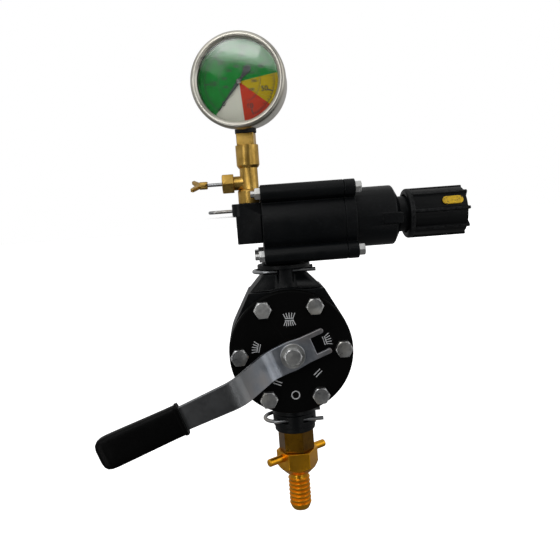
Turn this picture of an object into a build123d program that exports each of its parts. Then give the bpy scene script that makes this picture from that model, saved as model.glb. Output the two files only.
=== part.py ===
from build123d import *
from math import acos, atan2, cos, hypot, radians, sin
import os

os.makedirs("parts", exist_ok=True)

# Sprayer control unit: pressure regulator with gauge, standing on a selector valve.
# +X right, +Y out of the back, +Z up. The origin is the middle of the rear mounting
# face. The regulator, the gauge and the tail all lie in the plane Y = flow_y.

# ---- fits ----
run = 0.05  # radial clearance of anything that turns or slides
seat = 0.05  # radial clearance of fixed pieces in their holes
air = 0.3  # clear gap between pieces that must not touch
port_r = 9.3  # G1/2 tapped bore
port_depth = 10

# ---- selector valve ----
flow_y = -29
drum_r = 44
drum_front = -49
drum_back = -9
cover_t = 8
cavity_r = 27
cavity_floor = -18
rotor_r = 24
flow_r = 5
cover_bolt_inset = 7.5
cover_bolt_r = 3.1
cover_bolt_af = 11.1
cover_bolt_head = 4.4
cover_bolt_grip = 12
spindle_r = 5
square_af = 8
bush_wall = 3
bush_flange = 1  # how far the flange stands out past the bush
bush_flange_t = 2.5
cover_boss = 2  # how far the cover's boss stands out past that flange
cover_boss_t = 3
ledge_half = 27
ledge_drop = 1.5  # below the top of the drum
mount_dx = 40
mount_dz = 56
mount_hole_r = 3.4
mount_hole_depth = 13
pad_w = 56
pad_h = 14
outlet_x = 31
outlet_boss_r = 13
port_face = -1.5

# ---- plugged joints with fork clips ----
socket_r = 12
neck_wall = 3.75
tail_neck_wall = 3
neck_collar = 3.55
clip_wire_r = 1.4
clip_play = 0.3
clip_bite = 1  # how far the clip's legs lie inside the socket's wall
neck_rise = 18  # top of the neck above the ledge
upper_clip_drop = 4.9
upper_socket_depth = 18.5
lower_neck_drop = 19.5  # end of the lower neck below the drum
lower_clip_rise = 9
clip_tip_reach = 3
cord_r = 1.2

# ---- lever ----
lever_angle = 20
lever_t = 3.2
lever_offset = 30
shoulder_t = 1
washer_t = 1.5
washer_r = 8.5
fork_r = 26
fork_w = 18.6
notch_r = 15.8
notch_w = 11.7
strip_end_w = 16
grip_near = 78.5
grip_far = 136.8
grip_w = 21.5
grip_t = 9

# ---- pressure regulator ----
reg_rise = 4.5  # under the shell, above the neck
reg_left = -13.6
reg_joint = 45
bonnet_flange_t = 8
shell_wall = 8
bolt_dy = 20
bolt_dz = 22
boss_r = 6
tie_bolt_r = 2.5
tie_bolt_af = 8
tie_head = 4.5
nut_t = 4
tie_bolt_out = 2.8  # past the nuts
chamber_r = 9
chamber_end = 12
seat_ring_r = 11
seat_ring_t = 6
seat_bore_r = 5
cylinder_r = 17
bonnet_skin = 4.75
bonnet_barrel = 29
bonnet_taper = 4
bonnet_neck_r = 13
bonnet_neck = 18
screw_r = 6
inlet_x = 3
bypass_x = 28
port_boss_r = 12
piston_x = 30
piston_t = 8
piston_lift = 3
spring_r = 12
spring_wire_r = 1.6
spring_turns = 6
spring_room = 30  # from the piston to the follower
follower_t = 6
knob_gap = 6  # between the bonnet's taper and the knob
knob_length = 42.5
knob_r = 18.2
panel_r = 17
knob_hollow_r = 14.2
knob_hollow = 18
rib_count = 8
rib_w = 2.2
rib_phase = 6
rib_stand = 1.5  # past the knob's end face
mark_angle = 27
mark_inset = 10.6
mark_length = 15
mark_w = 6
mark_t = 0.7
knob_screw_af = 7
knob_screw_head = 2.2
knob_screw_r = 2
knob_screw_length = 18

# ---- gauge isolator and inlet head ----
head_w = 20.7
head_rise = 16  # above the regulator's axis
head_drop = 13  # below it
head_half_y = 13
head_spigot_r = 12
head_spigot = 6.6
stem_inset = 6.7  # the gauge stem's axis, left of the shell
iso_socket_r = 5.2
iso_socket_depth = 12
iso_clip_drop = 5
iso_clip_half = 4.9
iso_clip_r = 1.2
iso_clip_loop = 25.4  # centre of the clip's loop, left of the stem
iso_base_h = 10
iso_base_r = 9
iso_body_h = 15.5
iso_body_r = 6.55
iso_sleeve_h = 16.5
iso_sleeve_r = 8.3
iso_thread_r = 5.9
iso_bore_r = 4.6
needle_rise = 15  # above the head
branch_r = 5.1
branch_reach = 11.4
gland_length = 8.4
gland_af = 13.4
needle_r = 1.3
needle_seat_inset = 1
needle_open = 1.5
wing_gap = 10.7
wing_depth = 12
wing_span = 21
wing_lean = 20
wing_t = 2.6

# ---- gauge ----
gauge_turn = 10
gauge_rise = 43.5  # centre of the dial above the isolator
bezel_r = 33.5
case_r = 31.5
case_wall = 1
case_back = -12
gauge_front = 20
bezel_back = 12
opening_r = 28.5
window_t = 2.5
window_back = 15.5
dial_r = 30
dial_front = 10.2
dial_t = 0.6
stem_w = 12.6
collar_r = 7.75
collar_rise = 8.3  # collar's lower face above the isolator
gear_module = 0.4
pinion_teeth = 12
sector_teeth = 54
sector_sweep = 80
arbor_r = 0.9

# ---- tail ----
nipple_af = 23.2
nipple_hex = 15.8
nipple_thread_r = 10.3
nipple_thread = 9.2
nut_af = 27
nut_length = 17.6
hose_r = 8.3
hose_neck_r = 7
hose_bore_r = 5.5
tail_length = 28.5  # below the nut
barb_count = 7
barb_pitch = 3.2
pin_r = 2.85
pin_half = 26.5
pin_angle = 34
pin_drop = 4.2  # below the nipple's hexagon

# ---- places that follow from the sizes above ----
ledge_z = drum_r - ledge_drop
neck_top = ledge_z + neck_rise
neck_r = socket_r + neck_wall
neck_collar_r = neck_r + neck_collar
tail_neck_r = socket_r + tail_neck_wall
clip_half = socket_r - clip_bite
upper_clip_z = neck_top - upper_clip_drop
socket_floor_z = neck_top - upper_socket_depth
lower_socket_floor = -drum_r
lower_neck_end = -drum_r - lower_neck_drop
lower_clip_z = lower_neck_end + lower_clip_rise
cover_bolt_pcd = 2 * (drum_r - cover_bolt_inset)
bush_r = spindle_r + bush_wall
bush_flange_r = bush_r + bush_flange
cover_boss_r = bush_flange_r + cover_boss
shell_r = cylinder_r + shell_wall
reg_z = neck_top + reg_rise + shell_r
reg_right = reg_joint + bonnet_flange_t
bonnet_r = cylinder_r + bonnet_skin
bonnet_end = reg_right + bonnet_barrel
taper_end = bonnet_end + bonnet_taper
bonnet_neck_end = taper_end + bonnet_neck
follower_x = piston_x + piston_t + spring_room
knob_x = taper_end + knob_gap
knob_end = knob_x + knob_length
knob_web_x = knob_x + knob_hollow
head_left = reg_left - head_w
head_top = reg_z + head_rise
head_bottom = reg_z - head_drop
stem_x = reg_left - stem_inset
iso_socket_floor = head_top - iso_socket_depth
iso_clip_z = head_top - iso_clip_drop
iso_base_top = head_top + iso_base_h
iso_body_top = iso_base_top + iso_body_h
iso_sleeve_top = iso_body_top + iso_sleeve_h
needle_z = head_top + needle_rise
needle_seat_x = stem_x - needle_seat_inset
branch_end = stem_x - branch_reach
gland_end = branch_end - gland_length
wing_inner = gland_end - wing_gap
gauge_z = iso_sleeve_top + gauge_rise
collar_bottom = iso_sleeve_top + collar_rise
nipple_bottom = lower_neck_end - nipple_hex
nipple_end = nipple_bottom - nipple_thread
nut_top = nipple_bottom - air
nut_bottom = nut_top - nut_length
tail_end = nut_bottom - tail_length
pin_z = nipple_bottom - pin_drop


# ---- reference planes ----
def front_plane(y):
    """Sketch X and Z, facing the viewer at the front."""
    return Plane(origin=(0, y, 0), x_dir=(1, 0, 0), z_dir=(0, -1, 0))


def across_plane(x):
    """Sketch Y and Z about the regulator's axis, facing +X."""
    return Plane(origin=(x, flow_y, reg_z), x_dir=(0, 1, 0), z_dir=(1, 0, 0))


def level_plane(z, x=0):
    """Sketch X and Y about a vertical axis in the flow plane, facing +Z."""
    return Plane(origin=(x, flow_y, z), x_dir=(1, 0, 0), z_dir=(0, 0, 1))


def gauge_plane(depth=0, rise=0):
    """Sketch on the dial's plane, depth in front of the stem's axis, rise above the centre."""
    turn = radians(gauge_turn)
    normal = (-sin(turn), -cos(turn), 0)
    origin = (stem_x + depth * normal[0], flow_y + depth * normal[1], gauge_z + rise)
    return Plane(origin=origin, x_dir=(cos(turn), -sin(turn), 0), z_dir=normal)


lever_c = cos(radians(lever_angle))
lever_s = sin(radians(lever_angle))


def lever_plan(y):
    """Sketch along the lever and across it, facing the viewer."""
    return Plane(origin=(0, y, 0), x_dir=(lever_c, 0, lever_s), z_dir=(0, -1, 0))


lever_side = Plane(origin=(0, 0, 0), x_dir=(lever_c, 0, lever_s), z_dir=(lever_s, 0, -lever_c))

cover_front = drum_front - cover_t
bush_front = cover_front - cover_boss_t - bush_flange_t
shoulder_back = bush_front - run
lever_back = shoulder_back - shoulder_t
lever_front = lever_back - lever_t
washer_front = lever_front - washer_t


# ---- repeated shapes ----
def o_ring(plane, ring_r, thick_r=cord_r):
    """A ring of round cord, lying on a plane."""
    with BuildPart(plane) as ring:
        Torus(ring_r, thick_r)
    return ring


def disc(plane, outer_r, thick, bore_r=0.0):
    """A round plate standing on a plane, with or without a hole."""
    with BuildPart() as plate:
        with BuildSketch(plane):
            Circle(outer_r)
            if bore_r:
                Circle(bore_r, mode=Mode.SUBTRACT)
        extrude(amount=thick)
    return plate


def fork_clip(plane, half, wire_r, tip, loop):
    """A hairpin of round wire: two legs along local x, joined by a half circle."""
    with BuildPart() as clip:
        with BuildLine(plane) as path:
            Line((tip, half), (loop, half))
            ThreePointArc((loop, half), (loop - half, 0), (loop, -half))
            Line((loop, -half), (tip, -half))
        with BuildSketch(Plane(origin=path.line @ 0, z_dir=path.line % 0)):
            Circle(wire_r)
        sweep()
    return clip


def clip_windows(half, wire_r, rib_half, reach):
    """In the open sketch: four windows that show a clip's legs, and slots behind the ribs."""
    inner = half - wire_r - clip_play
    with GridLocations(rib_half + reach, inner + reach, 2, 2):
        Rectangle(reach - rib_half, reach - inner)
    with GridLocations(1, 2 * half, 1, 2):
        Rectangle(2 * reach, 2 * (wire_r + run))


def hex_bolts(plane, spots, af, head, shank_r, length, bore_r=0.0):
    """Hexagon heads on a plane at each spot, with shanks going back from it."""
    with BuildPart() as bolts:
        with BuildSketch(plane):
            with Locations(*spots):
                RegularPolygon(af / 2, 6, major_radius=False)
        extrude(amount=head)
        with BuildSketch(plane.offset(head)):
            with Locations(*spots):
                Circle(af * 0.475)
        extrude(amount=-head, taper=-60, mode=Mode.INTERSECT)
        if length:
            with BuildSketch(plane):
                with Locations(*spots):
                    Circle(shank_r)
            extrude(amount=-length)
        if bore_r:
            with BuildSketch(plane):
                with Locations(*spots):
                    Circle(bore_r)
            extrude(amount=head, mode=Mode.SUBTRACT)
    return bolts


def ring_of_spots(count, pcd, phase=0.0):
    """Points on a bolt circle."""
    turns = [radians(phase + 360 * k / count) for k in range(count)]
    return [(pcd / 2 * cos(a), pcd / 2 * sin(a)) for a in turns]


def corners(dx, dy):
    """The four corners of a rectangle, from half its sides."""
    return [(sx * dx, sy * dy) for sx in (-1, 1) for sy in (-1, 1)]


# ---- selector valve: body ----
foot_turn = atan2(ledge_z, ledge_half) - acos(drum_r / hypot(ledge_half, ledge_z))
foot_x = drum_r * cos(foot_turn)
foot_z = drum_r * sin(foot_turn)
shoulder_half = 15.5
shoulder_top = ledge_z + 11.5
shoulder_front = drum_front + 6
shoulder_rear = drum_back - 2
collar_bottom_z = upper_clip_z + clip_wire_r + clip_play + 0.1
lower_collar_r = tail_neck_r + 1
lower_collar_top = lower_clip_z + 4
lower_collar_bottom = lower_clip_z - 5
neck_rib = 5.5
seal_pocket_r = 8
seal_pocket_reach = cavity_r + 3
flow_side_plane = Plane(origin=(0, flow_y, 0), x_dir=(0, 1, 0), z_dir=(1, 0, 0))
bolt_spots = ring_of_spots(6, cover_bolt_pcd)
mount_spots = corners(mount_dx / 2, mount_dz / 2)
outlet_spots = [(-outlet_x, 0), (outlet_x, 0)]

with BuildPart() as valve_body:
    with BuildSketch(front_plane(drum_front)):
        Circle(drum_r)
        with BuildLine():
            Polyline(
                (-foot_x, foot_z),
                (-ledge_half, ledge_z),
                (ledge_half, ledge_z),
                (foot_x, foot_z),
                close=True,
            )
        make_face()
    extrude(amount=drum_front - drum_back)
    chamfer(valve_body.edges().group_by(Axis.Y)[-1], 2)
    with BuildSketch(front_plane(shoulder_front)):
        with BuildLine():
            Polyline(
                (-ledge_half, ledge_z - 1),
                (-shoulder_half, shoulder_top),
                (shoulder_half, shoulder_top),
                (ledge_half, ledge_z - 1),
                close=True,
            )
        make_face()
    extrude(amount=shoulder_front - shoulder_rear)
    with BuildSketch(level_plane(ledge_z - 2)):
        Circle(neck_r)
    extrude(amount=neck_top - ledge_z + 2)
    with BuildSketch(level_plane(collar_bottom_z)):
        Circle(neck_collar_r)
    extrude(amount=neck_top - collar_bottom_z)
    with BuildSketch(level_plane(-drum_r + 6)):
        Circle(tail_neck_r)
    extrude(amount=lower_neck_end + drum_r - 6)
    with BuildSketch(level_plane(lower_collar_top)):
        Circle(lower_collar_r)
    extrude(amount=lower_collar_bottom - lower_collar_top)
    with BuildSketch(front_plane(0)):
        with Locations((0, mount_dz / 2), (0, -mount_dz / 2)):
            RectangleRounded(pad_w, pad_h, 3)
    extrude(amount=-drum_back + 1)
    with BuildSketch(front_plane(port_face)):
        with Locations(*outlet_spots):
            Circle(outlet_boss_r)
    extrude(amount=port_face - drum_back + 1)
    with BuildSketch(front_plane(drum_front)):
        Circle(cavity_r)
    extrude(amount=drum_front - cavity_floor, mode=Mode.SUBTRACT)
    with BuildSketch(level_plane(neck_top)):
        Circle(socket_r)
    extrude(amount=socket_floor_z - neck_top, mode=Mode.SUBTRACT)
    with BuildSketch(level_plane(lower_neck_end)):
        Circle(socket_r)
    extrude(amount=lower_socket_floor - lower_neck_end, mode=Mode.SUBTRACT)
    with BuildSketch(level_plane(0)):
        Circle(flow_r)
    extrude(amount=-lower_socket_floor, both=True, mode=Mode.SUBTRACT)
    with BuildSketch(flow_side_plane):
        Circle(flow_r)
    extrude(amount=outlet_x, both=True, mode=Mode.SUBTRACT)
    with BuildSketch(level_plane(0)):
        Circle(seal_pocket_r)
    extrude(amount=seal_pocket_reach, both=True, mode=Mode.SUBTRACT)
    with BuildSketch(flow_side_plane):
        Circle(seal_pocket_r)
    extrude(amount=seal_pocket_reach, both=True, mode=Mode.SUBTRACT)
    with BuildSketch(front_plane(port_face)):
        with Locations(*outlet_spots):
            Circle(flow_r)
    extrude(amount=port_face - flow_y + flow_r, mode=Mode.SUBTRACT)
    with BuildSketch(front_plane(port_face)):
        with Locations(*outlet_spots):
            Circle(port_r)
    extrude(amount=port_depth, mode=Mode.SUBTRACT)
    with BuildSketch(front_plane(0)):
        with Locations(*mount_spots):
            Circle(mount_hole_r)
    extrude(amount=mount_hole_depth, mode=Mode.SUBTRACT)
    with BuildSketch(front_plane(drum_front)):
        with Locations(*bolt_spots):
            Circle(cover_bolt_r + seat)
    extrude(amount=-cover_bolt_grip - 1, mode=Mode.SUBTRACT)
    with BuildSketch(level_plane(upper_clip_z)):
        clip_windows(clip_half, clip_wire_r, neck_rib, neck_collar_r + 2)
    extrude(amount=clip_wire_r + run, both=True, mode=Mode.SUBTRACT)
    with BuildSketch(level_plane(lower_clip_z)):
        clip_windows(clip_half, clip_wire_r, neck_rib, neck_collar_r + 2)
    extrude(amount=clip_wire_r + run, both=True, mode=Mode.SUBTRACT)

# ---- selector valve: cover and its seals ----
cover_edge_gap = 0.4
spigot_t = 2.5
seal_ring_r = 30

with BuildPart() as valve_cover:
    with BuildSketch(front_plane(drum_front)):
        Circle(drum_r - cover_edge_gap)
    extrude(amount=cover_t)
    chamfer(valve_cover.edges().group_by(Axis.Y)[0], 0.8)
    with BuildSketch(front_plane(cover_front)):
        Circle(cover_boss_r)
    extrude(amount=cover_boss_t)
    with BuildSketch(front_plane(drum_front)):
        Circle(cavity_r - seat)
    extrude(amount=-spigot_t)
    with BuildSketch(front_plane(drum_front + spigot_t)):
        Circle(bush_r)
    extrude(amount=spigot_t + cover_t + cover_boss_t, mode=Mode.SUBTRACT)
    with BuildSketch(front_plane(drum_front)):
        with Locations(*bolt_spots):
            Circle(cover_bolt_r + 0.2)
    extrude(amount=cover_t, mode=Mode.SUBTRACT)
    with BuildSketch(front_plane(drum_front)):
        Circle(seal_ring_r + cord_r + run)
        Circle(seal_ring_r - cord_r - run, mode=Mode.SUBTRACT)
    extrude(amount=2 * cord_r, mode=Mode.SUBTRACT)

cover_seal = o_ring(front_plane(drum_front - cord_r), seal_ring_r)
cover_bolt_length = cover_t + cover_bolt_grip
cover_bolts = hex_bolts(
    front_plane(cover_front), bolt_spots, cover_bolt_af, cover_bolt_head, cover_bolt_r, cover_bolt_length
)

bush_back = drum_front - 1

with BuildPart() as gland_bush:
    with BuildSketch(front_plane(bush_back)):
        Circle(bush_r - seat)
        Circle(spindle_r + run, mode=Mode.SUBTRACT)
    extrude(amount=bush_back - bush_front)
    with BuildSketch(front_plane(cover_front - cover_boss_t)):
        Circle(bush_flange_r)
        Circle(spindle_r + run, mode=Mode.SUBTRACT)
    extrude(amount=bush_flange_t)

stem_oring = o_ring(front_plane(bush_back + cord_r + 2 * run), spindle_r + cord_r + 2 * run)


# ---- selector valve: rotor, seats and spindle ----
rotor_front = drum_front + spigot_t + 0.5
rotor_back = cavity_floor - 0.5
tang = 5

with BuildPart() as rotor:
    with BuildSketch(front_plane(rotor_front)):
        Circle(rotor_r)
    extrude(amount=rotor_front - rotor_back)
    with BuildSketch(front_plane(rotor_front)):
        Rectangle(square_af + 2 * run, square_af + 2 * run)
    extrude(amount=-tang, mode=Mode.SUBTRACT)
    with BuildSketch(level_plane(0)):
        Circle(flow_r)
    extrude(amount=rotor_r + 1, mode=Mode.SUBTRACT)
    with BuildSketch(flow_side_plane):
        Circle(flow_r)
    extrude(amount=rotor_r + 1, both=True, mode=Mode.SUBTRACT)

with BuildPart() as seat_seals:
    for plane in (level_plane(0), flow_side_plane):
        with BuildSketch(plane):
            Circle(seal_pocket_r - seat)
            Circle(flow_r, mode=Mode.SUBTRACT)
        extrude(amount=seal_pocket_reach, both=True)
    with BuildSketch(front_plane(drum_front)):
        Circle(rotor_r + run)
    extrude(amount=drum_front - cavity_floor, mode=Mode.SUBTRACT)

with BuildPart() as spindle:
    with BuildSketch(front_plane(rotor_front + tang - 0.5)):
        Rectangle(square_af, square_af)
        Circle(spindle_r, mode=Mode.INTERSECT)
    extrude(amount=tang - 0.5)
    with BuildSketch(front_plane(rotor_front)):
        Circle(spindle_r)
    extrude(amount=rotor_front - shoulder_back)
    with BuildSketch(front_plane(shoulder_back)):
        Circle(spindle_r + 2.5)
    extrude(amount=shoulder_t)
    with BuildSketch(lever_plan(lever_back)):
        Rectangle(square_af, square_af)
        Circle(spindle_r, mode=Mode.INTERSECT)
    extrude(amount=lever_t - 0.2)
    with BuildSketch(front_plane(lever_front)):
        Circle(cover_bolt_r + seat)
    extrude(amount=-11, mode=Mode.SUBTRACT)


# ---- lever ----
hub_centre = lever_t / 2 - lever_back
outer_centre = hub_centre + lever_offset
bend_near = -17
bend_far = -40
bend_half = 9.8
hub_half = 10.3
fork_root = 9
strip_end = 4 - grip_far
strip_length = -strip_end - grip_near

with BuildPart() as lever:
    with BuildSketch(lever_side):
        with BuildLine():
            FilletPolyline(
                (fork_r, hub_centre),
                (bend_near, hub_centre),
                (bend_far, outer_centre),
                (strip_end, outer_centre),
                radius=15,
            )
        trace(line_width=lever_t)
    extrude(amount=fork_w, both=True)
    with BuildSketch(lever_plan(0)):
        with BuildLine():
            Polyline(
                (fork_r, fork_w / 2),
                (fork_root, fork_w / 2),
                (0, hub_half),
                (bend_near, bend_half),
                (-grip_near, strip_end_w / 2),
                (strip_end, strip_end_w / 2),
                (strip_end, -strip_end_w / 2),
                (-grip_near, -strip_end_w / 2),
                (bend_near, -bend_half),
                (0, -hub_half),
                (fork_root, -fork_w / 2),
                (fork_r, -fork_w / 2),
                close=True,
            )
        make_face()
        with Locations((fork_r, 0)):
            Rectangle(2 * (fork_r - notch_r), notch_w, mode=Mode.SUBTRACT)
        Rectangle(square_af + 2 * run, square_af + 2 * run, mode=Mode.SUBTRACT)
        fillet(vertices().group_by(Axis.X)[-1], 1.6)
    extrude(amount=120, mode=Mode.INTERSECT)

with BuildPart() as lever_grip:
    with BuildSketch(lever_plan(-outer_centre)):
        with Locations((-(grip_near + grip_far) / 2, 0)):
            RectangleRounded(grip_far - grip_near, grip_w, 6)
        with Locations((-grip_near - 4, 0)):
            Rectangle(8, grip_w)
    extrude(amount=grip_t / 2, both=True)
    fillet(lever_grip.edges().group_by(Axis.Y)[0] + lever_grip.edges().group_by(Axis.Y)[-1], 2.6)
    with BuildSketch(lever_plan(-outer_centre)):
        with Locations(((strip_end - grip_near) / 2, 0)):
            Rectangle(strip_length + 2 * seat, strip_end_w + 2 * seat)
        with Locations((-grip_near, 0)):
            Rectangle(3, strip_end_w + 2 * seat)
    extrude(amount=lever_t / 2 + seat, both=True, mode=Mode.SUBTRACT)

lever_washer = disc(front_plane(lever_front), washer_r, washer_t, cover_bolt_r + 0.2)
lever_bolt_plane = front_plane(washer_front)
lever_bolt = hex_bolts(lever_bolt_plane, [(0, 0)], cover_bolt_af, cover_bolt_head, cover_bolt_r, 11)


# ---- pressure regulator: shell, seat and spigot ----
def shell_outline():
    """In the open sketch: the regulator's barrel with its four corner bosses."""
    Circle(shell_r)
    Rectangle(2 * bolt_dy, 2 * bolt_dz)
    with GridLocations(2 * bolt_dy, 2 * bolt_dz, 2, 2):
        Circle(boss_r)


tie_spots = corners(bolt_dy, bolt_dz)
head_spigot_end = reg_left + head_spigot
ring_end = chamber_end + seat_ring_t
cylinder_start = ring_end + 2
spigot_top = reg_z - shell_r - 0.2
spigot_r = socket_r - seat
spigot_foot = socket_floor_z + 1.5
upper_ring_z = socket_floor_z + 6.5

with BuildPart() as regulator_body:
    with BuildSketch(across_plane(reg_left)):
        shell_outline()
    extrude(amount=reg_joint - reg_left)
    with BuildSketch(front_plane(port_face)):
        with Locations((inlet_x, reg_z), (bypass_x, reg_z)):
            Circle(port_boss_r)
    extrude(amount=port_face - flow_y - cylinder_r)
    with BuildSketch(level_plane(neck_top + air)):
        Circle(neck_r)
    extrude(amount=reg_z - shell_r + 4 - neck_top - air)
    with BuildSketch(level_plane(neck_top + air)):
        Circle(spigot_r)
    extrude(amount=spigot_foot - neck_top - air)
    with BuildSketch(level_plane(upper_clip_z)):
        Circle(spigot_r)
        Circle(clip_half - clip_wire_r - run, mode=Mode.SUBTRACT)
    extrude(amount=clip_wire_r + run, both=True, mode=Mode.SUBTRACT)
    with BuildSketch(level_plane(upper_ring_z)):
        Circle(spigot_r)
        Circle(spigot_r - 2 * cord_r, mode=Mode.SUBTRACT)
    extrude(amount=cord_r + run, both=True, mode=Mode.SUBTRACT)
    with BuildSketch(across_plane(reg_left)):
        Circle(head_spigot_r)
    extrude(amount=head_spigot, mode=Mode.SUBTRACT)
    with BuildSketch(across_plane(reg_left)):
        Circle(chamber_r)
    extrude(amount=chamber_end - reg_left, mode=Mode.SUBTRACT)
    with BuildSketch(across_plane(chamber_end)):
        Circle(seat_ring_r)
    extrude(amount=cylinder_start - chamber_end, mode=Mode.SUBTRACT)
    with BuildSketch(across_plane(cylinder_start)):
        Circle(cylinder_r)
    extrude(amount=reg_joint - cylinder_start, mode=Mode.SUBTRACT)
    with BuildSketch(level_plane(spigot_foot)):
        Circle(flow_r)
    extrude(amount=reg_z - spigot_foot, mode=Mode.SUBTRACT)
    with BuildSketch(front_plane(port_face)):
        with Locations((inlet_x, reg_z), (bypass_x, reg_z)):
            Circle(flow_r)
    extrude(amount=port_face - flow_y, mode=Mode.SUBTRACT)
    with BuildSketch(front_plane(port_face)):
        with Locations((inlet_x, reg_z), (bypass_x, reg_z)):
            Circle(port_r)
    extrude(amount=port_depth, mode=Mode.SUBTRACT)
    with BuildSketch(across_plane(reg_left)):
        with Locations(*tie_spots):
            Circle(tie_bolt_r + seat)
    extrude(amount=reg_joint - reg_left, mode=Mode.SUBTRACT)

spigot_oring = o_ring(level_plane(upper_ring_z), spigot_r - cord_r)
seat_ring = disc(across_plane(chamber_end), seat_ring_r - seat, seat_ring_t, seat_bore_r)

# ---- pressure regulator: bonnet and through bolts ----
bonnet_wall = 2.5
shoulder_rib = 14
shoulder_rib_w = 7.5
shoulder_rib_turn = -5
tie_bolt_end = reg_left - nut_t - tie_bolt_out

with BuildPart() as bonnet:
    with BuildSketch(across_plane(reg_joint)):
        shell_outline()
    extrude(amount=reg_right - reg_joint)
    with BuildSketch(across_plane(reg_joint)):
        with Locations(*tie_spots):
            Circle(tie_bolt_r + seat)
    extrude(amount=reg_right - reg_joint, mode=Mode.SUBTRACT)
    with BuildSketch(across_plane(reg_right)):
        Circle(bonnet_r)
    extrude(amount=bonnet_end - reg_right)
    with BuildSketch(across_plane(bonnet_end)):
        Circle(bonnet_r)
    with BuildSketch(across_plane(taper_end)):
        Circle(bonnet_neck_r + 1.5)
    loft()
    with BuildSketch(across_plane(taper_end)):
        Circle(bonnet_neck_r)
    extrude(amount=bonnet_neck_end - taper_end)
    with BuildSketch(across_plane(taper_end - shoulder_rib)):
        with PolarLocations(bonnet_r - 3, 2, start_angle=-shoulder_rib_turn):
            Rectangle(7, shoulder_rib_w)
    extrude(amount=shoulder_rib)
    with BuildSketch(across_plane(reg_joint)):
        Circle(cylinder_r)
    extrude(amount=bonnet_end - bonnet_wall - reg_joint, mode=Mode.SUBTRACT)
    with BuildSketch(across_plane(reg_joint)):
        Circle(screw_r + run)
    extrude(amount=bonnet_neck_end - reg_joint, mode=Mode.SUBTRACT)

tie_length = reg_right - tie_bolt_end
through_bolts = hex_bolts(across_plane(reg_right), tie_spots, tie_bolt_af, tie_head, tie_bolt_r, tie_length)
left_face = Plane(origin=(reg_left, flow_y, reg_z), x_dir=(0, -1, 0), z_dir=(-1, 0, 0))
through_nuts = hex_bolts(left_face, tie_spots, tie_bolt_af, nut_t, tie_bolt_r, 0, tie_bolt_r + seat)


# ---- pressure regulator: piston, spring, follower, knob ----
nose_r = 6.5
follower_boss_r = 8
dimple = 3
screw_tip = follower_x + follower_t - dimple + run
screw_end = knob_end - 12

with BuildPart() as piston:
    with BuildSketch(across_plane(piston_x)):
        Circle(cylinder_r - run)
    extrude(amount=piston_t)
    with BuildSketch(across_plane(ring_end + run)):
        Circle(nose_r)
    extrude(amount=piston_x - ring_end - run)
    with BuildSketch(across_plane(piston_x + piston_t / 2)):
        Circle(cylinder_r)
        Circle(cylinder_r - run - 2 * cord_r, mode=Mode.SUBTRACT)
    extrude(amount=cord_r + run, both=True, mode=Mode.SUBTRACT)
    with BuildSketch(across_plane(piston_x + piston_t)):
        Circle(follower_boss_r)
    extrude(amount=4)

piston_oring = o_ring(across_plane(piston_x + piston_t / 2), cylinder_r - run - cord_r)

spring_start = piston_x + piston_t + spring_wire_r + run
spring_length = follower_x - spring_wire_r - run - spring_start

with BuildPart() as spring:
    with BuildLine() as coil:
        Helix(spring_length / spring_turns, spring_length, spring_r, (spring_start, flow_y, reg_z), (1, 0, 0))
    with BuildSketch(Plane(origin=coil.line @ 0, z_dir=coil.line % 0)):
        Circle(spring_wire_r)
    sweep(is_frenet=True)

with BuildPart() as spring_follower:
    with BuildSketch(across_plane(follower_x)):
        Circle(cylinder_r - air)
    extrude(amount=follower_t)
    with BuildSketch(across_plane(follower_x)):
        Circle(follower_boss_r)
    extrude(amount=-4)
    with BuildSketch(across_plane(follower_x + follower_t)):
        Circle(screw_r + run)
    extrude(amount=-dimple, mode=Mode.SUBTRACT)

tap_r = knob_screw_r + 0.1

with BuildPart() as adjusting_screw:
    with BuildSketch(across_plane(screw_tip)):
        Circle(screw_r)
    extrude(amount=screw_end - screw_tip)
    with BuildSketch(across_plane(screw_end)):
        Circle(tap_r)
    extrude(amount=-10, mode=Mode.SUBTRACT)

cap_recess = 2.5
rib_end = knob_end + rib_stand
rib_middle_r = (knob_r + screw_r) / 2

with BuildPart() as knob:
    with BuildSketch(across_plane(knob_x)):
        Circle(panel_r)
    extrude(amount=knob_end - knob_x)
    with BuildSketch(across_plane(knob_x)):
        Circle(knob_r)
    extrude(amount=4)
    with BuildSketch(across_plane(knob_x)):
        with PolarLocations(rib_middle_r, rib_count, start_angle=180 - rib_phase):
            Rectangle(knob_r - screw_r, rib_w)
    extrude(amount=rib_end - knob_x)
    with BuildSketch(across_plane(knob_x)):
        Circle(knob_r)
    extrude(amount=rib_end - knob_x, mode=Mode.INTERSECT)
    chamfer(knob.edges().filter_by(GeomType.CIRCLE).group_by(Axis.X)[0], 1.2)
    with BuildSketch(across_plane(rib_end)):
        Circle(screw_r + 4)
    extrude(amount=-cap_recess - rib_stand, mode=Mode.SUBTRACT)
    with BuildSketch(across_plane(knob_x)):
        Circle(knob_hollow_r)
    extrude(amount=knob_web_x - knob_x, mode=Mode.SUBTRACT)
    with BuildSketch(across_plane(knob_x)):
        Circle(screw_r + seat)
    extrude(amount=screw_end - knob_x, mode=Mode.SUBTRACT)
    with BuildSketch(across_plane(knob_x)):
        Circle(tap_r)
    extrude(amount=knob_end - knob_x, mode=Mode.SUBTRACT)

mark_turn = radians(mark_angle)
mark_normal = (0, -cos(mark_turn), sin(mark_turn))
mark_x = knob_end - mark_inset
mark_plane = Plane(origin=(mark_x, flow_y, reg_z), x_dir=(1, 0, 0), z_dir=mark_normal)

with BuildPart() as knob_mark:
    with BuildSketch(mark_plane):
        SlotOverall(mark_length, mark_w)
    extrude(amount=panel_r + mark_t)
    with BuildSketch(across_plane(knob_x)):
        Circle(panel_r)
    extrude(amount=knob_end - knob_x, mode=Mode.SUBTRACT)

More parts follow.
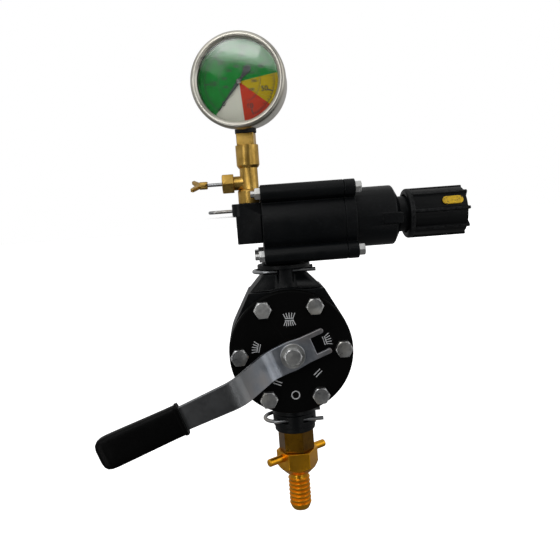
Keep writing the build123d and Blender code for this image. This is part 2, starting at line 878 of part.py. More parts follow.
knob_screw = hex_bolts(
    across_plane(knob_end - cap_recess),
    [(0, 0)],
    knob_screw_af,
    knob_screw_head,
    knob_screw_r,
    knob_screw_length,
)


# ---- inlet head and its joints ----
head_step_z = head_top - 9
head_step = 2.5
gauge_way_r = 2.5
head_bore_r = 4
head_middle = (head_left + reg_left) / 2

with BuildPart() as inlet_head:
    with BuildSketch(level_plane(head_bottom)):
        with Locations((head_middle + head_step / 2, 0)):
            RectangleRounded(reg_left - head_left - head_step, 2 * head_half_y, 1)
    extrude(amount=head_step_z - head_bottom)
    with BuildSketch(level_plane(head_step_z)):
        with Locations((head_middle, 0)):
            Rectangle(reg_left - head_left, 2 * head_half_y)
        fillet(vertices().group_by(Axis.X)[0], 6)
    extrude(amount=head_top - head_step_z)
    with BuildSketch(across_plane(reg_left)):
        Circle(head_spigot_r - seat)
    extrude(amount=head_spigot)
    with BuildSketch(across_plane(head_spigot_end)):
        Circle(head_bore_r)
    extrude(amount=stem_x - head_bore_r - head_spigot_end, mode=Mode.SUBTRACT)
    with BuildSketch(level_plane(head_top, stem_x)):
        Circle(iso_socket_r)
    extrude(amount=iso_socket_floor - head_top, mode=Mode.SUBTRACT)
    with BuildSketch(level_plane(head_top, stem_x)):
        Circle(gauge_way_r)
    extrude(amount=reg_z - head_top, mode=Mode.SUBTRACT)
    with BuildSketch(level_plane(iso_clip_z)):
        with Locations((head_middle - 1, iso_clip_half), (head_middle - 1, -iso_clip_half)):
            Rectangle(reg_left - head_left + 2, 2 * (iso_clip_r + run))
    extrude(amount=iso_clip_r + run, both=True, mode=Mode.SUBTRACT)

upper_tip = neck_collar_r + clip_tip_reach
lower_tip = lower_collar_r + clip_tip_reach + 1.5
iso_loop = stem_x - iso_clip_loop
fork_clip_regulator = fork_clip(level_plane(upper_clip_z), clip_half, clip_wire_r, upper_tip, -clip_half)
fork_clip_tail = fork_clip(level_plane(lower_clip_z), clip_half, clip_wire_r, lower_tip, -clip_half)
fork_clip_gauge = fork_clip(level_plane(iso_clip_z), iso_clip_half, iso_clip_r, reg_left - 1, iso_loop)


# ---- gauge isolator ----
iso_spigot_r = iso_socket_r - seat
chamber_iso_r = 3.3
seat_way_r = 1.5
spigot_way_r = 1.2
iso_spigot_foot = iso_socket_floor + air
iso_ring_z = iso_socket_floor + 3
iso_cord_r = 0.8
thread_depth = 12
gland_thread_r = branch_r - 0.8


def needle_plane(x, faces_right=True):
    """Sketch Y and Z about the needle's axis."""
    side = 1 if faces_right else -1
    return Plane(origin=(x, flow_y, needle_z), x_dir=(0, side, 0), z_dir=(side, 0, 0))


with BuildPart() as isolator_body:
    with BuildSketch(level_plane(iso_spigot_foot, stem_x)):
        Circle(iso_spigot_r)
    extrude(amount=head_top - iso_spigot_foot)
    with BuildSketch(level_plane(iso_clip_z, stem_x)):
        Circle(iso_spigot_r)
        Circle(iso_clip_half - iso_clip_r - run, mode=Mode.SUBTRACT)
    extrude(amount=iso_clip_r + run, both=True, mode=Mode.SUBTRACT)
    with BuildSketch(level_plane(head_top, stem_x)):
        Circle(iso_base_r)
        with Locations((reg_left - air - stem_x, 0)):
            Rectangle(iso_base_r, 2 * iso_base_r, align=(Align.MIN, Align.CENTER), mode=Mode.SUBTRACT)
    extrude(amount=iso_base_top - head_top)
    chamfer(isolator_body.faces().sort_by(Axis.Z)[-1].edges(), 0.8)
    with BuildSketch(level_plane(iso_base_top, stem_x)):
        Circle(iso_body_r)
    extrude(amount=iso_body_top + 2 - iso_base_top)
    with BuildSketch(needle_plane(branch_end)):
        Circle(branch_r)
    extrude(amount=stem_x - branch_end)
    with BuildSketch(needle_plane(gland_end + 1)):
        Circle(gland_thread_r)
    extrude(amount=branch_end - gland_end - 1)
    with BuildSketch(needle_plane(needle_seat_x)):
        Circle(chamber_iso_r)
    extrude(amount=gland_end - needle_seat_x, mode=Mode.SUBTRACT)
    with BuildSketch(needle_plane(needle_seat_x)):
        Circle(seat_way_r)
    extrude(amount=5.5, mode=Mode.SUBTRACT)
    with BuildSketch(level_plane(iso_ring_z, stem_x)):
        Circle(iso_spigot_r)
        Circle(iso_spigot_r - 2 * iso_cord_r, mode=Mode.SUBTRACT)
    extrude(amount=iso_cord_r + run, both=True, mode=Mode.SUBTRACT)
    with BuildSketch(level_plane(iso_socket_floor, stem_x - 1.5)):
        Circle(spigot_way_r)
    extrude(amount=needle_z - iso_socket_floor, mode=Mode.SUBTRACT)
    with BuildSketch(level_plane(needle_z, stem_x + 3)):
        Circle(seat_way_r)
    extrude(amount=iso_body_top + 2 - needle_z, mode=Mode.SUBTRACT)

isolator_oring = o_ring(level_plane(iso_ring_z, stem_x), iso_spigot_r - iso_cord_r, iso_cord_r)

with BuildPart() as isolator_union:
    with BuildSketch(level_plane(iso_body_top, stem_x)):
        Circle(iso_body_r + 0.6)
    with BuildSketch(level_plane(iso_body_top + 2, stem_x)):
        Circle(iso_sleeve_r)
    loft()
    with BuildSketch(level_plane(iso_body_top + 2, stem_x)):
        Circle(iso_sleeve_r)
    extrude(amount=iso_sleeve_top - iso_body_top - 2)
    with BuildSketch(level_plane(iso_body_top, stem_x)):
        Circle(iso_body_r)
    extrude(amount=2, mode=Mode.SUBTRACT)
    with BuildSketch(level_plane(iso_sleeve_top, stem_x)):
        Circle(iso_thread_r + seat)
    extrude(amount=-thread_depth, mode=Mode.SUBTRACT)
    with BuildSketch(level_plane(iso_body_top, stem_x)):
        Circle(iso_bore_r)
    extrude(amount=iso_sleeve_top - iso_body_top, mode=Mode.SUBTRACT)

gland_floor = gland_end + 2.5
packing_t = 3.5

with BuildPart() as gland_nut:
    with BuildSketch(needle_plane(gland_end)):
        RegularPolygon(gland_af / 2, 6, major_radius=False)
    extrude(amount=branch_end - gland_end)
    with BuildSketch(needle_plane(gland_end)):
        Circle(gland_af * 0.475)
    extrude(amount=branch_end - gland_end, taper=-60, mode=Mode.INTERSECT)
    with BuildSketch(needle_plane(gland_floor - 1.5)):
        Circle(gland_thread_r + seat)
    extrude(amount=branch_end - gland_floor + 1.5, mode=Mode.SUBTRACT)
    with BuildSketch(needle_plane(gland_end)):
        Circle(needle_r + run)
    extrude(amount=gland_floor - gland_end, mode=Mode.SUBTRACT)

gland_packing = disc(needle_plane(gland_end + 1), chamber_iso_r - seat, packing_t, needle_r + run)

tip_reach = 2.1
tip_x = needle_seat_x + tip_reach - needle_open
tip_length = 4
tip_r = 2.4
tip_point_r = 0.4
tip_shank_r = 0.7

with BuildPart() as needle_tip:
    with BuildSketch(needle_plane(tip_x)):
        Circle(tip_point_r)
    with BuildSketch(needle_plane(tip_x - tip_length)):
        Circle(tip_r)
    loft()
    with BuildSketch(needle_plane(tip_x - tip_length)):
        Circle(tip_r)
    extrude(amount=-1)
    with BuildSketch(needle_plane(tip_x - tip_length - 1)):
        Circle(tip_shank_r)
    extrude(amount=-3)

stem_start = tip_x - tip_length - 1 - run

with BuildPart() as needle_stem:
    with BuildSketch(needle_plane(stem_start)):
        Circle(needle_r)
    extrude(amount=wing_inner - 5 - stem_start)
    with BuildSketch(needle_plane(stem_start)):
        Circle(tip_shank_r + run)
    extrude(amount=-3.2, mode=Mode.SUBTRACT)

wing_normal = (0, -sin(radians(wing_lean)), cos(radians(wing_lean)))
wing_plane = Plane(origin=(wing_inner, flow_y, needle_z), x_dir=(-1, 0, 0), z_dir=wing_normal)
wing_tip = wing_span / 2
wing_shoulder = wing_depth - 2
wing_waist = 4
wing_root = 2.6
wing_hub_r = 2.8

with BuildPart() as wing_handle:
    with BuildSketch(wing_plane):
        with BuildLine():
            Polyline(
                (0, -wing_root),
                (5, -wing_root - 0.8),
                (wing_shoulder, -wing_tip),
                (wing_depth, 2 - wing_tip),
                (wing_shoulder, -wing_waist),
                (7.5, 0),
                (wing_shoulder, wing_waist),
                (wing_depth, wing_tip - 2),
                (wing_shoulder, wing_tip),
                (5, wing_root + 0.8),
                (0, wing_root),
                close=True,
            )
        make_face()
        fillet(vertices().group_by(Axis.X)[0], 1.6)
    extrude(amount=wing_t / 2, both=True)
    with BuildSketch(needle_plane(wing_inner, False)):
        Circle(wing_hub_r)
    extrude(amount=6)
    with BuildSketch(needle_plane(wing_inner, False)):
        Circle(needle_r + seat)
    extrude(amount=5, mode=Mode.SUBTRACT)


# ---- gauge: case, bezel, window and dial ----
case_inner_r = case_r - case_wall
case_bottom = gauge_z - case_r
neck_hole_r = 6.3
plug_r = 4
plug_h = 3.8
plug_sink = 2.5
window_front = window_back + window_t + run

with BuildPart() as gauge_case:
    with BuildSketch(gauge_plane(case_back)):
        Circle(case_r)
    extrude(amount=window_back - 1 - case_back)
    with BuildSketch(gauge_plane(case_back + case_wall)):
        Circle(case_inner_r)
    extrude(amount=window_back - case_back, mode=Mode.SUBTRACT)
    with BuildSketch(level_plane(gauge_z, stem_x)):
        Circle(neck_hole_r)
    extrude(amount=case_bottom - 1 - gauge_z, mode=Mode.SUBTRACT)
    with BuildSketch(level_plane(gauge_z, stem_x)):
        Circle(plug_r)
    extrude(amount=case_r + 1, mode=Mode.SUBTRACT)

with BuildPart() as gauge_bezel:
    with BuildSketch(gauge_plane(bezel_back)):
        Circle(bezel_r)
        Circle(case_r + seat, mode=Mode.SUBTRACT)
    extrude(amount=window_back - bezel_back)
    with BuildSketch(gauge_plane(window_back)):
        Circle(bezel_r)
        Circle(case_inner_r + seat, mode=Mode.SUBTRACT)
    extrude(amount=window_front - window_back)
    with BuildSketch(gauge_plane(window_front)):
        Circle(bezel_r)
        Circle(opening_r, mode=Mode.SUBTRACT)
    extrude(amount=gauge_front - window_front)

gauge_window = disc(gauge_plane(window_back), case_inner_r, window_t)
window_gasket = disc(gauge_plane(window_back - 1), case_r, 1, opening_r)
gauge_dial = disc(gauge_plane(dial_front - dial_t), dial_r, dial_t, 1.6)
fill_plug = disc(level_plane(gauge_z + case_r - plug_sink, stem_x), plug_r - seat, plug_h)
case_collar_h = case_bottom - collar_bottom - run
case_collar = disc(level_plane(collar_bottom, stem_x), collar_r, case_collar_h, neck_hole_r)


# ---- gauge: socket, tube and movement ----
block_bottom = case_bottom + 2.5
block_top = gauge_z - 17.5
block_w = 14
block_back = -5
block_front = 3
tube_r = 20
tube_start = 247
tube_end = 5
tube_w = 6
tube_t = 2
tube_depth = -1
plate_t = 0.8
front_plate = 7.4
plate_w = 11
plate_top = 4
plate_bottom = block_top - gauge_z - 6
pillar_z = block_top - gauge_z - 4.4
pillar_x = 4
pillar_r = 1.2
socket_way_r = 1.8
sector_y = -gear_module * (pinion_teeth + sector_teeth) / 2

with BuildPart() as gauge_socket:
    with BuildSketch(level_plane(iso_sleeve_top - thread_depth + 1, stem_x)):
        Circle(iso_thread_r)
    extrude(amount=thread_depth - 1)
    with BuildSketch(level_plane(iso_sleeve_top, stem_x).rotated((0, 0, -gauge_turn))):
        Rectangle(stem_w, stem_w)
        fillet(vertices(), 1)
    extrude(amount=collar_bottom - iso_sleeve_top)
    with BuildSketch(level_plane(collar_bottom, stem_x)):
        Circle(neck_hole_r - run)
    extrude(amount=block_bottom - collar_bottom)
    with BuildSketch(gauge_plane(block_back)):
        with Locations((0, (block_bottom + block_top) / 2 - gauge_z)):
            Rectangle(block_w, block_top - block_bottom)
    extrude(amount=block_front - block_back)
    with BuildSketch(level_plane(block_top - 4, stem_x)):
        Circle(socket_way_r)
    extrude(amount=iso_sleeve_top - thread_depth - block_top + 4, mode=Mode.SUBTRACT)

with BuildPart() as bourdon_tube:
    with BuildLine(gauge_plane(tube_depth)):
        tube_path = CenterArc((0, 0), tube_r, tube_start, tube_end - tube_start)
    with BuildSketch(Plane(origin=tube_path @ 0, x_dir=gauge_plane().z_dir, z_dir=tube_path % 0)):
        RectangleRounded(tube_w, tube_t, 0.9)
    sweep()

with BuildPart() as movement_frame:
    for depth in (block_front, front_plate):
        with BuildSketch(gauge_plane(depth)):
            with Locations((0, (plate_bottom + plate_top) / 2)):
                Rectangle(plate_w, plate_top - plate_bottom)
            with Locations((0, 0), (0, sector_y)):
                Circle(arbor_r + run, mode=Mode.SUBTRACT)
        extrude(amount=plate_t)
    with BuildSketch(gauge_plane(block_front)):
        with Locations((-pillar_x, pillar_z), (pillar_x, pillar_z)):
            Circle(pillar_r)
    extrude(amount=front_plate - block_front)


addendum = 0.75 * gear_module
dedendum = 1.1 * gear_module
tooth_root_half = 0.3
tooth_tip_half = 0.14
root_sink = 0.3
pinion_root_r = gear_module * pinion_teeth / 2 - dedendum
sector_root_r = gear_module * sector_teeth / 2 - dedendum
sector_step = 360 / sector_teeth
gear_back = 5
gear_t = 1.2
arbor_back = block_front - 0.2
arbor_front = front_plate + plate_t + 0.4
pointer_back = 11.3
pointer_t = 0.8
pointer_front = pointer_back + pointer_t
pointer_hub_r = 2.4
pointer_half = 1.3
pointer_tip_half = 0.25
rest_angle = 230
pointer_length = 24.5
pointer_tail = 9
tail_shoulder = 2 - pointer_tail
tail_half = 1.9


def gear_tooth():
    """In the open sketch: one tapered tooth, pointing along local x from the root circle."""
    tip = addendum + dedendum
    Polygon(
        (-root_sink, -tooth_root_half),
        (tip, -tooth_tip_half),
        (tip, tooth_tip_half),
        (-root_sink, tooth_root_half),
    )


with BuildPart() as movement_pinion:
    with BuildSketch(gauge_plane(gear_back - 0.3)):
        Circle(pinion_root_r)
        with PolarLocations(pinion_root_r, pinion_teeth, start_angle=180 / pinion_teeth):
            gear_tooth()
    extrude(amount=gear_t + 0.6)
    with BuildSketch(gauge_plane(arbor_back)):
        Circle(arbor_r)
    extrude(amount=pointer_front + 0.6 - arbor_back)

sector_first = 90 - sector_step * 11
sector_last = 90 + sector_step

with BuildPart() as movement_sector:
    with BuildSketch(gauge_plane(gear_back, sector_y)):
        with BuildLine():
            first = PolarLine((0, 0), sector_root_r, sector_first - 3)
            last = PolarLine((0, 0), sector_root_r, sector_last + 3)
            RadiusArc(first @ 1, last @ 1, -sector_root_r)
        make_face()
        with PolarLocations(sector_root_r, 13, sector_first, sector_last - sector_first, endpoint=True):
            gear_tooth()
        Circle(2)
    extrude(amount=gear_t)
    with BuildSketch(gauge_plane(arbor_back, sector_y)):
        Circle(arbor_r)
    extrude(amount=arbor_front - arbor_back)

with BuildPart() as gauge_pointer:
    with BuildSketch(gauge_plane(pointer_back)):
        Circle(pointer_hub_r)
        with PolarLocations(0, 1, start_angle=rest_angle):
            Polygon(
                (0, -pointer_half),
                (pointer_length, -pointer_tip_half),
                (pointer_length, pointer_tip_half),
                (0, pointer_half),
            )
            Polygon(
                (0, -1),
                (tail_shoulder, -tail_half),
                (-pointer_tail, 0),
                (tail_shoulder, tail_half),
                (0, 1),
            )
        Circle(arbor_r + seat, mode=Mode.SUBTRACT)
    extrude(amount=pointer_t)


# ---- tail: nipple, swivel nut and hose tail ----
tail_ring_z = lower_socket_floor - 5.5
washer_thick = 1.5
flange_t = 2.5
hose_flange_r = nipple_thread_r - 0.5
flange_top = nipple_end - washer_thick
flange_bottom = flange_top - flange_t
first_barb = tail_end + 1.6 + barb_count * barb_pitch
nipple_turn = 48
nut_turn = 2

with BuildPart() as tail_nipple:
    with BuildSketch(level_plane(lower_neck_end).rotated((0, 0, nipple_turn))):
        RegularPolygon(nipple_af / 2, 6, major_radius=False)
    extrude(amount=nipple_bottom - lower_neck_end)
    with BuildSketch(level_plane(lower_neck_end)):
        Circle(spigot_r)
    extrude(amount=lower_socket_floor - 1 - lower_neck_end)
    with BuildSketch(level_plane(nipple_bottom)):
        Circle(nipple_thread_r)
    extrude(amount=nipple_end - nipple_bottom)
    with BuildSketch(level_plane(lower_clip_z)):
        Circle(spigot_r)
        Circle(clip_half - clip_wire_r - run, mode=Mode.SUBTRACT)
    extrude(amount=clip_wire_r + run, both=True, mode=Mode.SUBTRACT)
    with BuildSketch(level_plane(tail_ring_z)):
        Circle(spigot_r)
        Circle(spigot_r - 2 * cord_r, mode=Mode.SUBTRACT)
    extrude(amount=cord_r + run, both=True, mode=Mode.SUBTRACT)
    with BuildSketch(level_plane(nipple_end)):
        Circle(hose_bore_r)
    extrude(amount=lower_socket_floor - nipple_end, mode=Mode.SUBTRACT)

tail_oring = o_ring(level_plane(tail_ring_z), spigot_r - cord_r)
tail_washer = disc(level_plane(flange_top), hose_flange_r, washer_thick, hose_bore_r)

with BuildPart() as hose_tail:
    with BuildSketch(front_plane(flow_y)):
        with BuildLine():
            outline = [
                (hose_bore_r, flange_top),
                (hose_flange_r, flange_top),
                (hose_flange_r, flange_bottom),
                (hose_neck_r, flange_bottom),
            ]
            outline += [(hose_neck_r, first_barb)]
            for k in range(barb_count):
                top = first_barb - k * barb_pitch
                outline += [(hose_r, top), (hose_neck_r, top - barb_pitch)]
            outline += [(hose_neck_r - 1, tail_end), (hose_bore_r, tail_end)]
            Polyline(*outline, close=True)
        make_face()
    revolve(axis=Axis((0, flow_y, 0), (0, 0, 1)))

pin_way = (cos(radians(pin_angle)), sin(radians(pin_angle)), 0)

with BuildPart() as swivel_nut:
    with BuildSketch(level_plane(nut_top).rotated((0, 0, nut_turn))):
        RegularPolygon(nut_af / 2, 6, major_radius=False)
    extrude(amount=nut_bottom - nut_top)
    with BuildSketch(level_plane(nut_bottom)):
        Circle(hose_r + 1)
    extrude(amount=nut_top - nut_bottom, taper=-45, mode=Mode.INTERSECT)
    with BuildSketch(level_plane(nut_top)):
        Circle(nipple_thread_r + run)
    extrude(amount=flange_bottom - run - nut_top, mode=Mode.SUBTRACT)
    with BuildSketch(level_plane(nut_top)):
        Circle(hose_neck_r + run)
    extrude(amount=nut_bottom - nut_top, mode=Mode.SUBTRACT)
    with BuildSketch(Plane(origin=(0, flow_y, pin_z), z_dir=pin_way)):
        Circle(pin_r)
    extrude(amount=30, both=True, mode=Mode.SUBTRACT)

with BuildPart() as tommy_pins:
    for way in (0, 180):
        turn = radians(pin_angle + way)
        start = nipple_thread_r + 2 * air
        along = (cos(turn), sin(turn), 0)
        foot = (start * along[0], flow_y + start * along[1], pin_z)
        with BuildSketch(Plane(origin=foot, z_dir=along)):
            Circle(pin_r - 0.01)
        extrude(amount=pin_half - start)
        chamfer(tommy_pins.edges().filter_by(GeomType.CIRCLE).sort_by_distance((0, flow_y, pin_z))[-1], 0.6)


# ---- one file for each piece ----
pieces = {
    "valve_body": valve_body,
    "valve_cover": valve_cover,
    "cover_seal": cover_seal,
    "cover_bolts": cover_bolts,
    "gland_bush": gland_bush,
    "stem_oring": stem_oring,
    "rotor": rotor,
    "seat_seals": seat_seals,
    "spindle": spindle,
    "lever": lever,
    "lever_grip": lever_grip,
    "lever_washer": lever_washer,
    "lever_bolt": lever_bolt,
    "regulator_body": regulator_body,
    "spigot_oring": spigot_oring,
    "seat_ring": seat_ring,
    "bonnet": bonnet,
    "through_bolts": through_bolts,
    "through_nuts": through_nuts,
    "piston": piston,
    "piston_oring": piston_oring,
    "spring": spring,
    "spring_follower": spring_follower,
    "adjusting_screw": adjusting_screw,
    "knob": knob,
    "knob_mark": knob_mark,
    "knob_screw": knob_screw,
    "inlet_head": inlet_head,
    "fork_clip_regulator": fork_clip_regulator,
    "fork_clip_tail": fork_clip_tail,
    "fork_clip_gauge": fork_clip_gauge,
    "isolator_body": isolator_body,
    "isolator_oring": isolator_oring,
    "isolator_union": isolator_union,
    "gland_nut": gland_nut,
    "gland_packing": gland_packing,
    "needle_tip": needle_tip,
    "needle_stem": needle_stem,
    "wing_handle": wing_handle,
    "gauge_case": gauge_case,
    "gauge_bezel": gauge_bezel,
    "gauge_window": gauge_window,
    "window_gasket": window_gasket,
    "gauge_dial": gauge_dial,
    "fill_plug": fill_plug,
    "case_collar": case_collar,
    "gauge_socket": gauge_socket,
    "bourdon_tube": bourdon_tube,
    "movement_frame": movement_frame,
    "movement_pinion": movement_pinion,
    "movement_sector": movement_sector,
    "gauge_pointer": gauge_pointer,
    "tail_nipple": tail_nipple,
    "tail_oring": tail_oring,
    "tail_washer": tail_washer,
    "hose_tail": hose_tail,
    "swivel_nut": swivel_nut,
    "tommy_pins": tommy_pins,
}
for name, piece in pieces.items():
    piece.part.label = name
    export_step(piece.part, f"parts/{name}.step")
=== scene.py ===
"""Sprayer control unit: pressure gauge and regulator on a lever-operated selector valve."""

import math

import bmesh
import bpy
from mathutils import Matrix, Vector


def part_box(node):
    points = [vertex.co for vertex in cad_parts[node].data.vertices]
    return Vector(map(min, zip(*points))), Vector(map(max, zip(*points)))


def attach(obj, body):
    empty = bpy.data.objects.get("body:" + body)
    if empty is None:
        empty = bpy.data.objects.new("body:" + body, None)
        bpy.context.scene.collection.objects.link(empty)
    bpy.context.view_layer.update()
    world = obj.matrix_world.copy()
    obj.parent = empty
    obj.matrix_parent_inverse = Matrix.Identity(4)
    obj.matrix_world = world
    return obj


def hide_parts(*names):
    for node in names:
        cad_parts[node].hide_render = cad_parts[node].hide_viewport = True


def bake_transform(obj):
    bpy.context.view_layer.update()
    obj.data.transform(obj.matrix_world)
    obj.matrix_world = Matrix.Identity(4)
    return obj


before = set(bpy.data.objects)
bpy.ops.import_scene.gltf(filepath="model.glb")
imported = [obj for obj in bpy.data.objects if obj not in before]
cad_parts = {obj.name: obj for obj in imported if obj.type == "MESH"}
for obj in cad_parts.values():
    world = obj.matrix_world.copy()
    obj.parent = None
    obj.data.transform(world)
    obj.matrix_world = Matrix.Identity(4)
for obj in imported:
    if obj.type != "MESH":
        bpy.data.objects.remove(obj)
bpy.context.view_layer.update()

MM = 0.001
UP = Vector((0, 0, 1))


def middle(node):
    low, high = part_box(node)
    return (low + high) / 2


# ---- where things are ----
GAUGE_TURN = math.radians(10)
LEVER_ANGLE = math.radians(20)
gauge_axis = middle("gauge_dial")
knob_axis = middle("bonnet")
grip_axis = middle("lever_grip")


def placed(origin, across, upward):
    """The matrix of a sketch plane: local x across, local y upward, local z out of it."""
    outward = across.cross(upward)
    turn = Matrix((across, upward, outward)).transposed()
    return Matrix.Translation(origin) @ turn.to_4x4()


gauge_across = Vector((math.cos(GAUGE_TURN), -math.sin(GAUGE_TURN), 0))
dial_place = placed(gauge_axis, gauge_across, UP)
lever_across = Vector((-math.sin(LEVER_ANGLE), 0, math.cos(LEVER_ANGLE)))


# ---- paints ----
class Value:
    """A socket in a paint; sums written with it add the paint's maths nodes."""

    def __init__(self, paint, socket):
        self.paint = paint
        self.socket = socket

    def sum(self, operation, *inputs):
        settings = {"operation": operation}
        return self.paint.node("ShaderNodeMath", settings, dict(enumerate(inputs)))

    def __add__(self, other):
        return self.sum("ADD", self, other)

    def __radd__(self, other):
        return self.sum("ADD", other, self)

    def __mul__(self, other):
        return self.sum("MULTIPLY", self, other)

    def __rmul__(self, other):
        return self.sum("MULTIPLY", other, self)

    def __lt__(self, other):
        return self.sum("LESS_THAN", self, other)

    def clamped(self):
        return self.sum("MINIMUM", self.sum("MAXIMUM", self, 0.0), 1.0)


class Paint:
    """One finish: a Principled shader and the nodes that vary it."""

    def __init__(self, name, **plain):
        self.material = bpy.data.materials.new(name)
        self.material.use_nodes = True
        self.tree = self.material.node_tree
        self.shader = self.tree.nodes["Principled BSDF"]
        for socket, value in plain.items():
            self.set(socket.replace("_", " "), value)

    def set(self, socket, value):
        """Gives the shader's socket a plain value, or what a node makes."""
        if isinstance(value, Value):
            self.tree.links.new(value.socket, self.shader.inputs[socket])
        else:
            self.shader.inputs[socket].default_value = value

    def node(self, kind, settings=None, inputs=None, out=0):
        """Adds a node: its settings first, then the values or links of its sockets."""
        made = self.tree.nodes.new(kind)
        for name, value in (settings or {}).items():
            setattr(made, name, value)
        for name, value in (inputs or {}).items():
            if isinstance(value, Value):
                self.tree.links.new(value.socket, made.inputs[name])
            else:
                made.inputs[name].default_value = value
        return Value(self, made.outputs[out])

    def place(self, location=(0, 0, 0), rotation=(0, 0, 0)):
        """Object coordinates, taken from a place and turn of the piece's own."""
        at = self.node("ShaderNodeTexCoord", out="Object")
        inputs = {"Vector": at, "Location": location, "Rotation": rotation}
        return self.node("ShaderNodeMapping", {"vector_type": "TEXTURE"}, inputs)

    def noise(self, scale, detail=3.0, rough=0.5):
        """Soft blotches, about one metre over scale across."""
        at = self.node("ShaderNodeTexCoord", out="Object")
        inputs = {"Vector": at, "Scale": scale, "Detail": detail, "Roughness": rough}
        return self.node("ShaderNodeTexNoise", None, inputs)

    def spread(self, value, low, high, out_low=0.0, out_high=1.0):
        """Stretches a value from low...high to out_low...out_high, held at the ends."""
        inputs = {0: value, 1: low, 2: high, 3: out_low, 4: out_high}
        return self.node("ShaderNodeMapRange", None, inputs)

    def blend(self, share, first, second):
        """A colour that goes from first to second with share."""
        inputs = {0: share, 6: first, 7: second}
        return self.node("ShaderNodeMix", {"data_type": "RGBA"}, inputs, out=2)

    def bump(self, height, depth, strength=1.0):
        """Raises the surface by height times depth, in metres."""
        inputs = {"Height": height, "Distance": depth, "Strength": strength}
        self.set("Normal", self.node("ShaderNodeBump", None, inputs))

    def axes(self, at):
        """The three numbers of a place."""
        split = self.tree.nodes.new("ShaderNodeSeparateXYZ")
        self.tree.links.new(at.socket, split.inputs[0])
        return [Value(self, socket) for socket in split.outputs]


def shade(red, green, blue):
    return (red, green, blue, 1.0)


DARKER_END_ZONE = (-12 * MM, -36 * MM)  # along x, from the zinc's own colour near the hub to a darker tint towards the grip end of the lever
KNOB_CREST = (17.5 * MM, 18.15 * MM)  # the radii between which the knob's ribs are rubbed


def moulded_black(name, base, sheen, grain, rough, gloss):
    """Glass-filled nylon: near black, with flow marks in its gloss, dust and a painted sheen
    in its colour, and a fine grain.
    """
    paint = Paint(name, Specular_IOR_Level=gloss)
    flow = paint.noise(55, 4.0, 0.6)
    scuff = paint.noise(420, 3.0, 0.65)
    fine = paint.noise(grain, 2.0, 0.5)
    dust_and_sheen = paint.spread(scuff, 0.56, 0.78)
    # painted sheen and dust: where the scuff and flow blotches meet, the colour goes over to
    # the lighter sheen colour
    paint.set("Base Color", paint.blend(dust_and_sheen * 0.55 * flow, base, sheen))
    uneven = paint.spread(flow, 0.3, 0.7, *rough)
    paint.set("Roughness", (uneven + 0.08 * scuff).clamped())
    paint.bump(fine + 0.6 * scuff, 0.00012, 0.35)
    return paint.material


def plated(name, pale, dark, warm, rough, darker_end_tint=None):
    """Zinc plate or steel: clouded, warm in places, and, if a second tint is given, going over
    to it along x.
    """
    paint = Paint(name, Metallic=1.0)
    cloud = paint.noise(75, 5.0, 0.62)
    spangle = paint.noise(520, 3.0, 0.6)
    tint = paint.spread(paint.noise(38, 2.0, 0.5), 0.52, 0.7)
    body = paint.blend(paint.spread(cloud, 0.32, 0.68), dark, pale)
    body = paint.blend(paint.spread(spangle, 0.35, 0.75) * 0.35, body, pale)
    body = paint.blend(tint * 0.6, body, warm)
    if darker_end_tint:
        along, _, _ = paint.axes(paint.place())
        # the colour goes over to the second tint along x; on the lever this paints it darker
        # towards its grip end
        body = paint.blend(paint.spread(along, *DARKER_END_ZONE), body, darker_end_tint)
    paint.set("Base Color", body)
    paint.set("Roughness", paint.spread(cloud * 0.6 + spangle * 0.4, 0.3, 0.7, *rough))
    paint.bump(spangle, 0.00006, 0.4)
    return paint.material


def cast_brass(name, bright, deep, stain, rough, stained=0.5):
    """Brass: turned bright, going deeper and browner in patches."""
    paint = Paint(name, Metallic=1.0)
    cloud = paint.noise(90, 4.0, 0.6)
    speck = paint.noise(700, 3.0, 0.6)
    body = paint.blend(paint.spread(cloud, 0.35, 0.68), bright, deep)
    dirt = paint.spread(paint.noise(240, 4.0, 0.7), 0.55, 0.72)
    paint.set("Base Color", paint.blend(dirt * stained, body, stain))
    paint.set("Roughness", paint.spread(cloud * 0.5 + speck * 0.5, 0.3, 0.7, *rough))
    paint.bump(speck, 0.00008, 0.35)
    return paint.material


def rubbery(name, base, rough, grain=1500):
    """Rubber or PTFE: an even colour with a matt, slightly grainy skin."""
    paint = Paint(name)
    skin = paint.noise(grain, 3.0, 0.6)
    lighter = tuple(min(1.0, 1.35 * part + 0.003) for part in base[:3]) + (1.0,)
    paint.set("Base Color", paint.blend(paint.spread(skin, 0.4, 0.75), base, lighter))
    paint.set("Roughness", paint.spread(skin, 0.3, 0.7, rough - 0.08, rough + 0.08))
    paint.bump(skin, 0.0001, 0.3)
    return paint.material


black_shell = moulded_black(
    "black_shell",
    base=shade(0.0012, 0.0018, 0.0024),
    sheen=shade(0.014, 0.017, 0.02),
    grain=2200,
    rough=(0.3, 0.44),
    gloss=0.2,
)
black_cover = moulded_black(
    "black_cover",
    base=shade(0.0006, 0.0006, 0.0006),
    sheen=shade(0.006, 0.006, 0.006),
    grain=1500,
    rough=(0.46, 0.6),
    gloss=0.07,
)
zinc_lever = plated(
    "zinc_lever",
    pale=shade(0.46, 0.48, 0.52),
    dark=shade(0.26, 0.29, 0.34),
    warm=shade(0.42, 0.36, 0.32),
    rough=(0.3, 0.44),
    darker_end_tint=shade(0.17, 0.175, 0.18),
)
zinc_bolt = plated(
    "zinc_bolt",
    pale=shade(0.8, 0.8, 0.78),
    dark=shade(0.42, 0.43, 0.44),
    warm=shade(0.66, 0.62, 0.51),
    rough=(0.24, 0.44),
)
steel_wire = plated(
    "steel_wire",
    pale=shade(0.5, 0.51, 0.52),
    dark=shade(0.3, 0.31, 0.32),
    warm=shade(0.4, 0.36, 0.3),
    rough=(0.25, 0.4),
)
